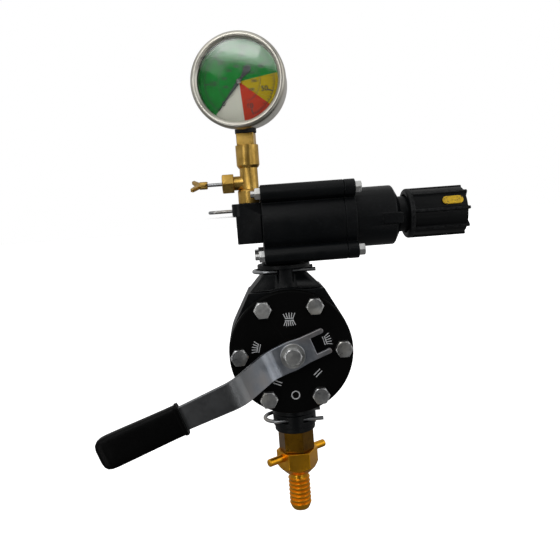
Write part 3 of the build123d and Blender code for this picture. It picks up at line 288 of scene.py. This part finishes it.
hub_grey = plated(
    "hub_grey",
    pale=shade(0.2, 0.2, 0.19),
    dark=shade(0.12, 0.12, 0.12),
    warm=shade(0.16, 0.15, 0.13),
    rough=(0.35, 0.5),
)
stainless = plated(
    "stainless",
    pale=shade(0.66, 0.64, 0.57),
    dark=shade(0.5, 0.48, 0.42),
    warm=shade(0.58, 0.53, 0.43),
    rough=(0.24, 0.36),
)
golden_brass = cast_brass(
    "golden_brass",
    bright=shade(0.95, 0.47, 0.03),
    deep=shade(0.78, 0.36, 0.016),
    stain=shade(0.4, 0.17, 0.01),
    rough=(0.26, 0.42),
)
dull_brass = cast_brass(
    "dull_brass",
    bright=shade(0.72, 0.46, 0.12),
    deep=shade(0.46, 0.27, 0.05),
    stain=shade(0.19, 0.1, 0.02),
    rough=(0.26, 0.42),
)
aged_brass = cast_brass(
    "aged_brass",
    bright=shade(0.2, 0.1, 0.008),
    deep=shade(0.12, 0.055, 0.004),
    stain=shade(0.05, 0.02, 0.003),
    rough=(0.24, 0.4),
    stained=0.7,
)
rubber = rubbery("rubber", shade(0.005, 0.005, 0.005), 0.72)
white_seal = rubbery("white_seal", shade(0.72, 0.72, 0.68), 0.5)


def grip_vinyl():
    """Dip-moulded vinyl: soft black with a waxy edge sheen."""
    paint = Paint("grip_vinyl", Specular_IOR_Level=0.06, Coat_Weight=0.06, Coat_Roughness=0.28)
    skin = paint.noise(900, 3.0, 0.6)
    rub = paint.spread(paint.noise(70, 4.0, 0.6), 0.5, 0.75)
    clean = shade(0.0006, 0.0006, 0.0006)
    paint.set("Base Color", paint.blend(rub * 0.5, clean, shade(0.005, 0.005, 0.005)))
    paint.set("Roughness", paint.spread(skin, 0.3, 0.7, 0.36, 0.52))
    paint.bump(skin + 2.0 * rub, 0.0001, 0.3)
    return paint.material


def knob_nylon():
    """The knob's nylon, rubbed grey along the crests of its ribs."""
    paint = Paint("knob_nylon", Specular_IOR_Level=0.15)
    place = paint.place(knob_axis)
    _, across, height = paint.axes(place)
    square = across * across + height * height
    radius = square.sum("SQRT", square)
    crest = paint.spread(radius, *KNOB_CREST)
    scuff = paint.noise(380, 4.0, 0.65)
    flow = paint.noise(60, 3.0, 0.6)
    worn = crest * paint.spread(scuff, 0.35, 0.7)
    clean = shade(0.0012, 0.0016, 0.002)
    paint.set("Base Color", paint.blend(worn * 0.5, clean, shade(0.045, 0.046, 0.048)))
    paint.set("Roughness", paint.spread(flow, 0.3, 0.7, 0.34, 0.5) + 0.1 * worn)
    paint.bump(scuff, 0.00015, 0.35)
    return paint.material


def mark_yellow():
    """Yellow paint in the knob's mark, chipped to the black beneath."""
    paint = Paint("mark_yellow", Roughness=0.5)
    chips = paint.noise(620, 4.0, 0.7)
    grime = paint.noise(260, 3.0, 0.6)
    lost = paint.spread(chips, 0.57, 0.62)
    dirty = paint.spread(grime, 0.35, 0.7)
    body = paint.blend(dirty, shade(0.8, 0.5, 0.006), shade(0.55, 0.34, 0.005))
    paint.set("Base Color", paint.blend(lost, body, shade(0.03, 0.028, 0.02)))
    paint.bump(chips, 0.0001, 0.4)
    return paint.material


# where each sector ends, going clockwise round the dial from its left
GREEN_END = math.radians(8)
YELLOW_END = math.radians(-40)
RED_END = math.radians(-86)
WHITE_END = math.radians(-130)


def dial_enamel():
    """The dial's print: green, yellow, red and white sectors round its centre."""
    paint = Paint("dial_enamel", Specular_IOR_Level=0.1)
    across, height, _ = paint.axes(paint.place(gauge_axis, dial_place.to_euler()))
    turn = height.sum("ARCTAN2", height, across)
    tone = paint.noise(120, 3.0, 0.6)
    uneven = paint.spread(tone, 0.3, 0.7)
    green = paint.blend(uneven, shade(0.001, 0.125, 0.012), shade(0.003, 0.16, 0.02))
    yellow = shade(0.31, 0.22, 0.001)
    red = shade(0.34, 0.026, 0.009)
    white = shade(0.44, 0.43, 0.37)
    body = paint.blend(turn < GREEN_END, green, yellow)
    body = paint.blend(turn < YELLOW_END, body, red)
    body = paint.blend(turn < RED_END, body, white)
    body = paint.blend(turn < WHITE_END, body, green)
    paint.set("Base Color", body)
    paint.set("Roughness", paint.spread(tone, 0.3, 0.7, 0.5, 0.62))
    return paint.material


def window_pane():
    """Clear glass with a little haze."""
    paint = Paint("window_pane", Transmission_Weight=1.0, IOR=1.48)
    smear = paint.noise(60, 4.0, 0.6)
    paint.set("Base Color", shade(0.96, 0.98, 0.97))
    paint.set("Roughness", paint.spread(smear, 0.35, 0.75, 0.03, 0.08))
    return paint.material


def printed(name, ink, worn):
    """Printing ink, a little uneven."""
    paint = Paint(name)
    tone = paint.noise(900, 3.0, 0.6)
    paint.set("Base Color", paint.blend(paint.spread(tone, 0.4, 0.75), ink, worn))
    paint.set("Roughness", paint.spread(tone, 0.3, 0.7, 0.5, 0.65))
    return paint.material


vinyl = grip_vinyl()
knob_black = knob_nylon()
yellow = mark_yellow()
enamel = dial_enamel()
pane = window_pane()
cover_ink = printed("cover_ink", shade(0.62, 0.63, 0.64), shade(0.36, 0.37, 0.38))
dial_ink = printed("dial_ink", shade(0.004, 0.005, 0.004), shade(0.01, 0.014, 0.01))
hand_black = printed("hand_black", shade(0.008, 0.014, 0.012), shade(0.02, 0.028, 0.025))


# ---- making pieces ----
def made(shape, name, paint, sharp=35):
    """Turns a finished shape into an object of the scene."""
    bmesh.ops.recalc_face_normals(shape, faces=shape.faces)
    mesh = bpy.data.meshes.new(name)
    shape.to_mesh(mesh)
    shape.free()
    mesh.materials.append(paint)
    mesh.shade_smooth()
    mesh.set_sharp_from_angle(angle=math.radians(sharp))
    piece = bpy.data.objects.new(name, mesh)
    bpy.context.scene.collection.objects.link(piece)
    return piece


def shown(shape, name, body, paint, stands_for=(), sharp=35):
    """Turns a finished shape into a piece that rides on a body."""
    piece = made(shape, name, paint, sharp)
    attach(piece, body)
    if stands_for:
        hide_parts(*stands_for)
    return piece


def turned(shape, profile, place, steps=96):
    """Spins a closed outline of (radius, height) points, in an empty shape, about z."""
    ring = [shape.verts.new((radius, 0, height)) for radius, height in profile]
    edges = [shape.edges.new((ring[k - 1], ring[k])) for k in range(len(ring))]
    bmesh.ops.spin(
        shape,
        geom=ring + edges,
        cent=(0, 0, 0),
        axis=(0, 0, 1),
        angle=2 * math.pi,
        steps=steps,
        use_merge=True,
    )
    bmesh.ops.transform(shape, matrix=place, verts=shape.verts)


def bar(shape, place, start, end, width, height):
    """A thin raised strip between two points of a plane."""
    start = Vector((*start, 0))
    end = Vector((*end, 0))
    run = end - start
    turn = Matrix.Rotation(math.atan2(run.y, run.x), 4, "Z")
    size = Matrix.Diagonal((run.length, width, height, 1))
    spot = Matrix.Translation((start + end) / 2)
    bmesh.ops.create_cube(shape, size=1, matrix=place @ spot @ turn @ size)


def polar(radius, angle):
    return Vector((radius * math.cos(angle), radius * math.sin(angle)))


WELD = 2e-6  # vertices nearer than this are one
FLAT = math.radians(0.4)  # faces that meet at less than this are one
SHARP_EDGE = math.radians(28)  # edges sharper than this are rounded over


def rounded(node, body, slot, paint, width):
    """A copy of a CAD piece with its sharp edges rounded over."""
    shape = bmesh.new()
    shape.from_mesh(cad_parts[node].data)
    bmesh.ops.remove_doubles(shape, verts=shape.verts, dist=WELD)
    bmesh.ops.dissolve_limit(shape, angle_limit=FLAT, verts=shape.verts, edges=shape.edges)
    piece = shown(shape, node + "_rounded", body, paint, (node,))
    round_over = piece.modifiers.new("round_over", "BEVEL")
    round_over.width = width
    round_over.segments = 2
    round_over.limit_method = "ANGLE"
    round_over.angle_limit = SHARP_EDGE
    round_over.use_clamp_overlap = False
    round_over.harden_normals = True


# CAD piece, body, slot, paint and the width of its rounded edges in mm
ROUNDED = [
    ("valve_body", "housing", "black_plastic", black_shell, 0.5),
    ("valve_cover", "housing", "black_plastic", black_cover, 0.4),
    ("regulator_body", "housing", "black_plastic", black_shell, 0.7),
    ("bonnet", "housing", "black_plastic", black_shell, 0.7),
    ("inlet_head", "housing", "black_plastic", black_shell, 0.5),
    ("knob", "knob_set", "black_plastic", knob_black, 0.5),
    ("lever", "lever_set", "zinc_steel", zinc_lever, 0.4),
    ("cover_bolts", "housing", "zinc_steel", zinc_bolt, 0.25),
    ("through_bolts", "housing", "zinc_steel", zinc_bolt, 0.2),
    ("through_nuts", "housing", "zinc_steel", zinc_bolt, 0.2),
    ("lever_bolt", "lever_set", "zinc_steel", zinc_bolt, 0.25),
    ("lever_washer", "lever_set", "zinc_steel", zinc_bolt, 0.25),
    ("isolator_body", "housing", "dull_brass", dull_brass, 0.3),
    ("isolator_union", "housing", "dull_brass", dull_brass, 0.3),
    ("gland_nut", "housing", "dull_brass", dull_brass, 0.3),
    ("wing_handle", "wing_set", "dull_brass", dull_brass, 0.6),
    ("gauge_socket", "housing", "dull_brass", dull_brass, 0.3),
    ("case_collar", "housing", "seal_rubber", rubber, 0.6),
    ("gauge_case", "housing", "stainless", stainless, 0.8),
    ("tail_nipple", "housing", "aged_brass", aged_brass, 0.3),
    ("swivel_nut", "nut_set", "brass", golden_brass, 0.4),
    ("tommy_pins", "nut_set", "brass", golden_brass, 0.4),
    ("hose_tail", "housing", "brass", golden_brass, 0.25),
]
for *facts, width in ROUNDED:
    rounded(*facts, width * MM)

# CAD pieces that stay as they are, with their paints
KEPT = {
    "gauge_dial": enamel,
    "gauge_window": pane,
    "window_gasket": rubber,
    "fill_plug": rubber,
    "knob_mark": yellow,
    "knob_screw": zinc_bolt,
    "gland_bush": golden_brass,
    "spindle": zinc_bolt,
    "rotor": golden_brass,
    "seat_seals": white_seal,
    "gland_packing": white_seal,
    "seat_ring": stainless,
    "piston": golden_brass,
    "spring_follower": golden_brass,
    "adjusting_screw": zinc_bolt,
    "fork_clip_regulator": steel_wire,
    "fork_clip_tail": steel_wire,
    "fork_clip_gauge": steel_wire,
    "needle_stem": steel_wire,
    "needle_tip": dull_brass,
    "bourdon_tube": golden_brass,
    "movement_frame": golden_brass,
    "movement_pinion": golden_brass,
    "movement_sector": golden_brass,
    "cover_seal": rubber,
    "stem_oring": rubber,
    "spigot_oring": rubber,
    "piston_oring": rubber,
    "tail_oring": rubber,
    "isolator_oring": rubber,
    "tail_washer": rubber,
}
for node, paint in KEPT.items():
    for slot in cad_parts[node].material_slots:
        slot.material = paint
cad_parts["gauge_window"].visible_shadow = False


# ---- regulator spring ----
END_COIL = 2 * MM  # the length of each end coil


def make_spring():
    """The coil in two capped halves, cut at its middle: one at the piston's end, the other at
    the follower's.
    """
    low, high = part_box("spring")
    centre = middle("spring")
    for name, body, end, outward in (
        ("spring_piston_half", "piston_set", low.x + END_COIL, 1),
        ("spring_follower_half", "follower", high.x - END_COIL, -1),
    ):
        shape = bmesh.new()
        shape.from_mesh(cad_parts["spring"].data)
        bmesh.ops.remove_doubles(shape, verts=shape.verts, dist=WELD)
        cut = bmesh.ops.bisect_plane(
            shape,
            geom=shape.verts[:] + shape.edges[:] + shape.faces[:],
            plane_co=centre,
            plane_no=(outward, 0, 0),
            clear_outer=True,
        )["geom_cut"]
        rim = [part for part in cut if isinstance(part, bmesh.types.BMEdge)]
        cap = bmesh.ops.edgeloop_fill(shape, edges=rim)["faces"]
        bmesh.ops.triangulate(shape, faces=cap)
        piece = made(shape, name, steel_wire)
        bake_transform(piece)
        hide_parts("spring")


make_spring()


# ---- lever grip ----
GRIP_MOUTH = 78.5 * MM  # from the spindle's axis
GRIP_HALF_WIDTH = 10.75 * MM
GRIP_HALF_THICKNESS = 4.5 * MM


def make_grip():
    """A dipped sleeve: a lip at its mouth, a slight waist and a blunt round end."""
    foot = Vector((0, grip_axis.y, 0))
    place = placed(foot, lever_across, Vector((0, 1, 0)))
    shape = bmesh.new()
    bmesh.ops.create_grid(shape, x_segments=1, y_segments=1, size=1)
    bmesh.ops.bevel(
        shape,
        geom=list(shape.verts),
        offset=0.42,
        offset_type="OFFSET",
        segments=3,
        profile=0.5,
        affect="VERTICES",
        material=-1,
    )
    mouth = Matrix.Diagonal((GRIP_HALF_WIDTH, GRIP_HALF_THICKNESS, 1, 1))
    start = Matrix.Translation((0, 0, GRIP_MOUTH))
    bmesh.ops.transform(shape, matrix=start @ mouth, verts=shape.verts)
    # each step in mm, and the width and thickness there as shares of the mouth's
    sections = [
        (0.3, 1.0, 1.0),
        (1.5, 1.0, 1.0),
        (0.5, 0.97, 0.95),
        (0.5, 0.94, 0.9),
        (6.0, 0.94, 0.9),
        (14.0, 0.96, 0.93),
        (14.0, 0.985, 0.97),
        (12.0, 1.0, 1.0),
        (4.0, 0.98, 0.98),
        (2.6, 0.9, 0.9),
        (1.7, 0.74, 0.72),
        (0.9, 0.5, 0.45),
        (0.3, 0.2, 0.2),
    ]
    wide, thick = 1.0, 1.0
    cap = list(shape.faces)
    for step, next_wide, next_thick in sections:
        grown = bmesh.ops.extrude_face_region(shape, geom=cap)["geom"]
        cap = [part for part in grown if isinstance(part, bmesh.types.BMFace)]
        tips = [part for part in grown if isinstance(part, bmesh.types.BMVert)]
        size = Matrix.Diagonal((next_wide / wide, next_thick / thick, 1, 1))
        onward = Matrix.Translation((0, 0, step * MM))
        bmesh.ops.transform(shape, matrix=onward @ size, verts=tips)
        wide, thick = next_wide, next_thick
    bmesh.ops.transform(shape, matrix=place, verts=shape.verts)
    grip = shown(shape, "grip_sleeve", "lever_set", vinyl, ("lever_grip",), 60)
    soften = grip.modifiers.new("soften", "SUBSURF")
    soften.levels = 2
    soften.render_levels = 2


make_grip()


# ---- gauge ----
def gauge_ring(name, paint, profile, stands_for=()):
    """A turned ring on the gauge's axis; heights are above the middle of the dial."""
    shape = bmesh.new()
    turned(shape, [(radius * MM, height * MM) for radius, height in profile], dial_place)
    return shown(shape, name, "housing", paint, stands_for)


gauge_ring(
    "bezel_roll",
    stainless,
    [
        (31.55, 2.1),
        (33.1, 2.1),
        (33.5, 2.6),
        (33.5, 6.9),
        (33.3, 8.2),
        (32.7, 9.3),
        (31.8, 9.95),
        (31.0, 10.1),
        (30.4, 10.0),
        (30.15, 9.7),
        (30.0, 9.75),
        (29.7, 9.6),
        (29.1, 9.0),
        (28.6, 8.4),
        (28.5, 8.2),
        (30.55, 8.2),
        (30.55, 5.6),
        (31.55, 5.6),
    ],
    ("gauge_bezel",),
)
gauge_ring(
    "dial_rim",
    stainless,
    [(30.3, 0.4), (28.9, 0.4), (28.6, 0.7), (28.45, 4.2), (28.6, 4.5), (30.3, 4.5)],
)

SCALE_FROM = math.radians(230)
SCALE_SWEEP = math.radians(300)
SCALE_UNITS = 60
OUTER_ARC = 25.0  # radii and widths of the dial's print are in mm
INNER_ARC = 15.2
DIAL_FACE = 0.34 * MM
INK = 0.1 * MM  # how thick print stands on its surface
ink_place = dial_place @ Matrix.Translation((0, 0, DIAL_FACE))


def scale_angle(share):
    """The direction of a share of the scale's travel."""
    return SCALE_FROM - SCALE_SWEEP * share


def scale_arc(shape, radius, parts, width):
    """A thin arc along the whole scale, made of short bars."""
    corners = [polar(radius * MM, scale_angle(k / parts)) for k in range(parts + 1)]
    for start, end in zip(corners, corners[1:]):
        bar(shape, ink_place, start, end, width * MM, INK)


def stroke(shape, radius, reach, share, width):
    """A stroke inwards from an arc."""
    outer = polar(radius * MM, scale_angle(share))
    inner = polar((radius - reach) * MM, scale_angle(share))
    bar(shape, ink_place, inner, outer, width * MM, INK)


def make_dial_marks():
    """Two scales, each with strokes inside a thin arc: one of 60 units, one of 45 parts."""
    shape = bmesh.new()
    for k in range(SCALE_UNITS + 1):
        reach = 3.8 if k % 10 == 0 else 2.8 if k % 5 == 0 else 1.6
        width = 0.8 if k % 10 == 0 else 0.42
        stroke(shape, OUTER_ARC, reach, k / SCALE_UNITS, width)
    scale_arc(shape, OUTER_ARC, 120, 0.34)
    scale_arc(shape, INNER_ARC, 90, 0.24)
    for k in range(46):
        stroke(shape, INNER_ARC, 2.2 if k % 5 == 0 else 1.1, k / 45, 0.34)
    shown(shape, "dial_marks", "housing", dial_ink)


def make_dial_numbers():
    """Plain numbers inside the long strokes of both scales."""
    shape = bmesh.new()
    # number, radius and height in mm, and share of the scale's travel
    outer = [(k * 10, 18.8, 5.0, k / 6) for k in range(7)]
    inner = [(k * 100, 10.6, 2.7, k / 9) for k in range(1, 9)]
    for number, radius, size, share in outer + inner:
        words = bpy.data.curves.new("number", "FONT")
        words.body = str(number)
        words.size = size * MM
        words.offset = 0.024 * size * MM
        words.align_x = "CENTER"
        words.align_y = "CENTER"
        words.extrude = INK / 2
        writing = bpy.data.objects.new("number", words)
        bpy.context.scene.collection.objects.link(writing)
        bpy.context.view_layer.update()
        mesh = bpy.data.meshes.new_from_object(writing)
        spot = polar(radius * MM, scale_angle(share))
        mesh.transform(ink_place @ Matrix.Translation((spot.x, spot.y, 0)))
        shape.from_mesh(mesh)
        bpy.data.objects.remove(writing)
        bpy.data.curves.remove(words)
        bpy.data.meshes.remove(mesh)
    shown(shape, "dial_numbers", "housing", dial_ink)


HAND_HEIGHT = 1.4 * MM  # above the dial's middle plane
HAND_THICKNESS = 0.5 * MM


def make_pointer():
    """A tapered hand with a broad counterweight, cut from one thin sheet, and its hub."""
    turn = Matrix.Rotation(SCALE_FROM, 4, "Z")
    place = dial_place @ Matrix.Translation((0, 0, HAND_HEIGHT)) @ turn
    shape = bmesh.new()
    # distance from the hub and half width, in mm
    side = [
        (25.5, 0.12),
        (14.0, 0.55),
        (4.0, 1.15),
        (0.0, 1.2),
        (-3.5, 0.9),
        (-6.5, 1.6),
        (-9.5, 2.5),
        (-11.6, 2.4),
        (-13.0, 1.3),
        (-13.6, 0.2),
    ]
    outline = side + [(along, -half) for along, half in reversed(side)]
    corners = [shape.verts.new((along * MM, half * MM, 0)) for along, half in outline]
    sheet = shape.faces.new(corners)
    grown = bmesh.ops.extrude_face_region(shape, geom=[sheet])["geom"]
    tips = [part for part in grown if isinstance(part, bmesh.types.BMVert)]
    bmesh.ops.translate(shape, vec=(0, 0, HAND_THICKNESS), verts=tips)
    bmesh.ops.transform(shape, matrix=place, verts=shape.verts)
    stands_for = ("gauge_pointer",)
    shown(shape, "pointer_hand", "pointer_set", hand_black, stands_for, 30)
    hub = bmesh.new()
    # radius and height in mm
    steps = [(0, 0), (1.8, 0), (1.8, 0.5), (1.5, 0.85), (1.0, 1.0), (0.8, 1.4), (0, 1.5)]
    cap_place = dial_place @ Matrix.Translation((0, 0, HAND_HEIGHT + HAND_THICKNESS))
    turned(hub, [(radius * MM, height * MM) for radius, height in steps], cap_place, 48)
    bmesh.ops.remove_doubles(hub, verts=hub.verts, dist=1e-7)
    shown(hub, "pointer_hub", "pointer_set", hub_grey)


make_dial_marks()
make_dial_numbers()
make_pointer()


# ---- print on the valve's cover ----
COVER_FACE = -57 * MM
SIGN_LINE = 0.55 * MM
SIGN_HALF = 3.1  # half the length of a sign's strips, in mm
cover_place = placed(Vector((0, COVER_FACE, 0)), Vector((1, 0, 0)), UP)


def sign_place(centre, turn=0):
    """Where a sign stands on the cover; centre is in mm and turn in degrees."""
    spot = Matrix.Translation((centre[0] * MM, centre[1] * MM, 0))
    return cover_place @ spot @ Matrix.Rotation(math.radians(turn), 4, "Z")


def spray_sign(shape, centre, turn, rays_above, rays_below):
    """A spray symbol: two strips side by side, with rays fanning out of one or both."""
    place = sign_place(centre, turn)
    for side, rays in ((1, rays_above), (-1, rays_below)):
        start = Vector((-SIGN_HALF, side * 0.7)) * MM
        end = Vector((SIGN_HALF, side * 0.7)) * MM
        bar(shape, place, start, end, SIGN_LINE, INK)
        for k in range(rays):
            share = k / (rays - 1) * 2 - 1
            root = Vector((share * SIGN_HALF * 0.86, side * 1.0)) * MM
            length = 4.7 - 0.5 * share * share
            tip = Vector((share * SIGN_HALF * 1.32, side * length)) * MM
            bar(shape, place, root, tip, SIGN_LINE, INK)


def make_cover_signs():
    """Light printed signs: both ways, right only, left only, two shut and a ring."""
    shape = bmesh.new()
    spray_sign(shape, (0, 23.5), 0, 5, 6)
    spray_sign(shape, (23.6, 6.6), -74, 5, 0)
    spray_sign(shape, (-22.8, 4.9), 74, 5, 0)
    for centre, turn in (((17.3, -16), 42), ((-11.3, -20.7), -24)):
        place = sign_place(centre, turn)
        for side in (-1, 1):
            bar(shape, place, (-3 * MM, side * MM), (3 * MM, side * MM), 0.7 * MM, INK)
    shown(shape, "cover_signs", "housing", cover_ink)
    ring = bmesh.new()
    inner, outer = 2.4 * MM, 3.1 * MM
    outline = [(inner, 0), (outer, 0), (outer, INK), (inner, INK)]
    turned(ring, outline, sign_place((0.6, -30.4)), 48)
    shown(ring, "cover_ring_sign", "housing", cover_ink)


make_cover_signs()


# ---- camera, lights and floor ----
FLOOR_LEVEL = -1
GAUGE_SPOT = (-0.02, -0.05, 0.2)  # what the window's panels face


def make_camera():
    """A view from in front, held level with the regulator and tilted a little down."""
    lens = bpy.data.cameras.new("viewpoint")
    lens.lens = 39.47
    lens.sensor_width = 36
    lens.shift_y = -0.06
    camera = bpy.data.objects.new("viewpoint", lens)
    camera.matrix_world = (
        Matrix.Translation((-0.02119, -0.479, 0.10468))
        @ Matrix.Rotation(math.radians(-2.4995), 4, "Z")
        @ Matrix.Rotation(math.radians(90 - 4.0522), 4, "X")
        @ Matrix.Rotation(math.radians(-4.2233), 4, "Z")
    )
    bpy.context.scene.collection.objects.link(camera)
    bpy.context.scene.camera = camera


def soft_panel(name, place, target, wide, high, power, roll=0.0):
    """An area light that faces a point of the object."""
    lamp = bpy.data.lights.new(name, "AREA")
    lamp.shape = "RECTANGLE"
    lamp.size = wide
    lamp.size_y = high
    lamp.energy = power
    panel = bpy.data.objects.new(name, lamp)
    facing = (Vector(target) - Vector(place)).to_track_quat("-Z", "Y").to_matrix().to_4x4()
    turn = Matrix.Rotation(math.radians(roll), 4, "Z")
    panel.matrix_world = Matrix.Translation(place) @ facing @ turn
    bpy.context.scene.collection.objects.link(panel)


def soft_sun(place, power, spread):
    """A broad even light from far away, coming from the side of a place."""
    lamp = bpy.data.lights.new("sky_light", "SUN")
    lamp.energy = power
    lamp.angle = math.radians(spread)
    sun = bpy.data.objects.new("sky_light", lamp)
    sun.matrix_world = (-Vector(place)).to_track_quat("-Z", "Y").to_matrix().to_4x4()
    bpy.context.scene.collection.objects.link(sun)


def make_floor():
    """A plain pale floor, far below the hanging unit and too bright to show its shadow."""
    shape = bmesh.new()
    bmesh.ops.create_grid(shape, x_segments=1, y_segments=1, size=30)
    bmesh.ops.translate(shape, vec=(0, 0, FLOOR_LEVEL), verts=shape.verts)
    mesh = bpy.data.meshes.new("floor")
    shape.to_mesh(mesh)
    shape.free()
    pale = Paint("pale_floor", Roughness=0.9, Emission_Strength=0.9)
    pale.set("Base Color", shade(0.9, 0.9, 0.9))
    pale.set("Emission Color", shade(1, 1, 1))
    mesh.materials.append(pale.material)
    floor = bpy.data.objects.new("floor", mesh)
    floor.visible_glossy = False
    floor.visible_diffuse = False
    bpy.context.scene.collection.objects.link(floor)


class Walls(Paint):
    """The studio's walls: the nodes of a paint, in the scene's world."""

    def __init__(self, name):
        world = bpy.data.worlds.new(name)
        bpy.context.scene.world = world
        world.use_nodes = True
        self.tree = world.node_tree
        self.shader = self.tree.nodes["Background"]


def make_surroundings():
    """Walls that look white, but light the unit more from its sides than from in front."""
    walls = Walls("studio")
    walls.set("Color", shade(1, 1, 1))
    _, depth, rise = walls.axes(walls.node("ShaderNodeTexCoord", out="Generated"))
    beside = walls.spread(depth, -0.95, -0.35)
    glow = 0.04 + beside * walls.spread(rise, -0.6, 0.05, 0.1, 0.42)
    seen = walls.node("ShaderNodeLightPath", out="Is Camera Ray")
    walls.set("Strength", seen.sum("MAXIMUM", seen, glow))
    bpy.context.scene.view_settings.view_transform = "Standard"


make_camera()
soft_panel("window_light", (-0.47, -1.4, 0.93), GAUGE_SPOT, 0.9, 0.8, 6, -14)
soft_panel("pane_light", (-0.55, -1.49, 0.6), GAUGE_SPOT, 0.14, 0.04, 0.08, -14)
soft_panel("curtain_light", (-0.72, -1.45, 0.62), GAUGE_SPOT, 0.3, 0.09, 0.07, -22)
soft_panel("left_strip", (-0.85, -1.3, -0.2), (0, -0.03, 0), 0.16, 1.5, 2.6)
soft_panel("right_strip", (0.75, -1.2, -0.2), (0, -0.03, 0), 0.12, 1.5, 1.6)
soft_panel("right_light", (1.3, -0.6, 0.5), (0, -0.03, 0.05), 0.8, 1.2, 2.5)
soft_sun((-0.3, -0.2, 1.0), 0.5, 70)
make_floor()
make_surroundings()
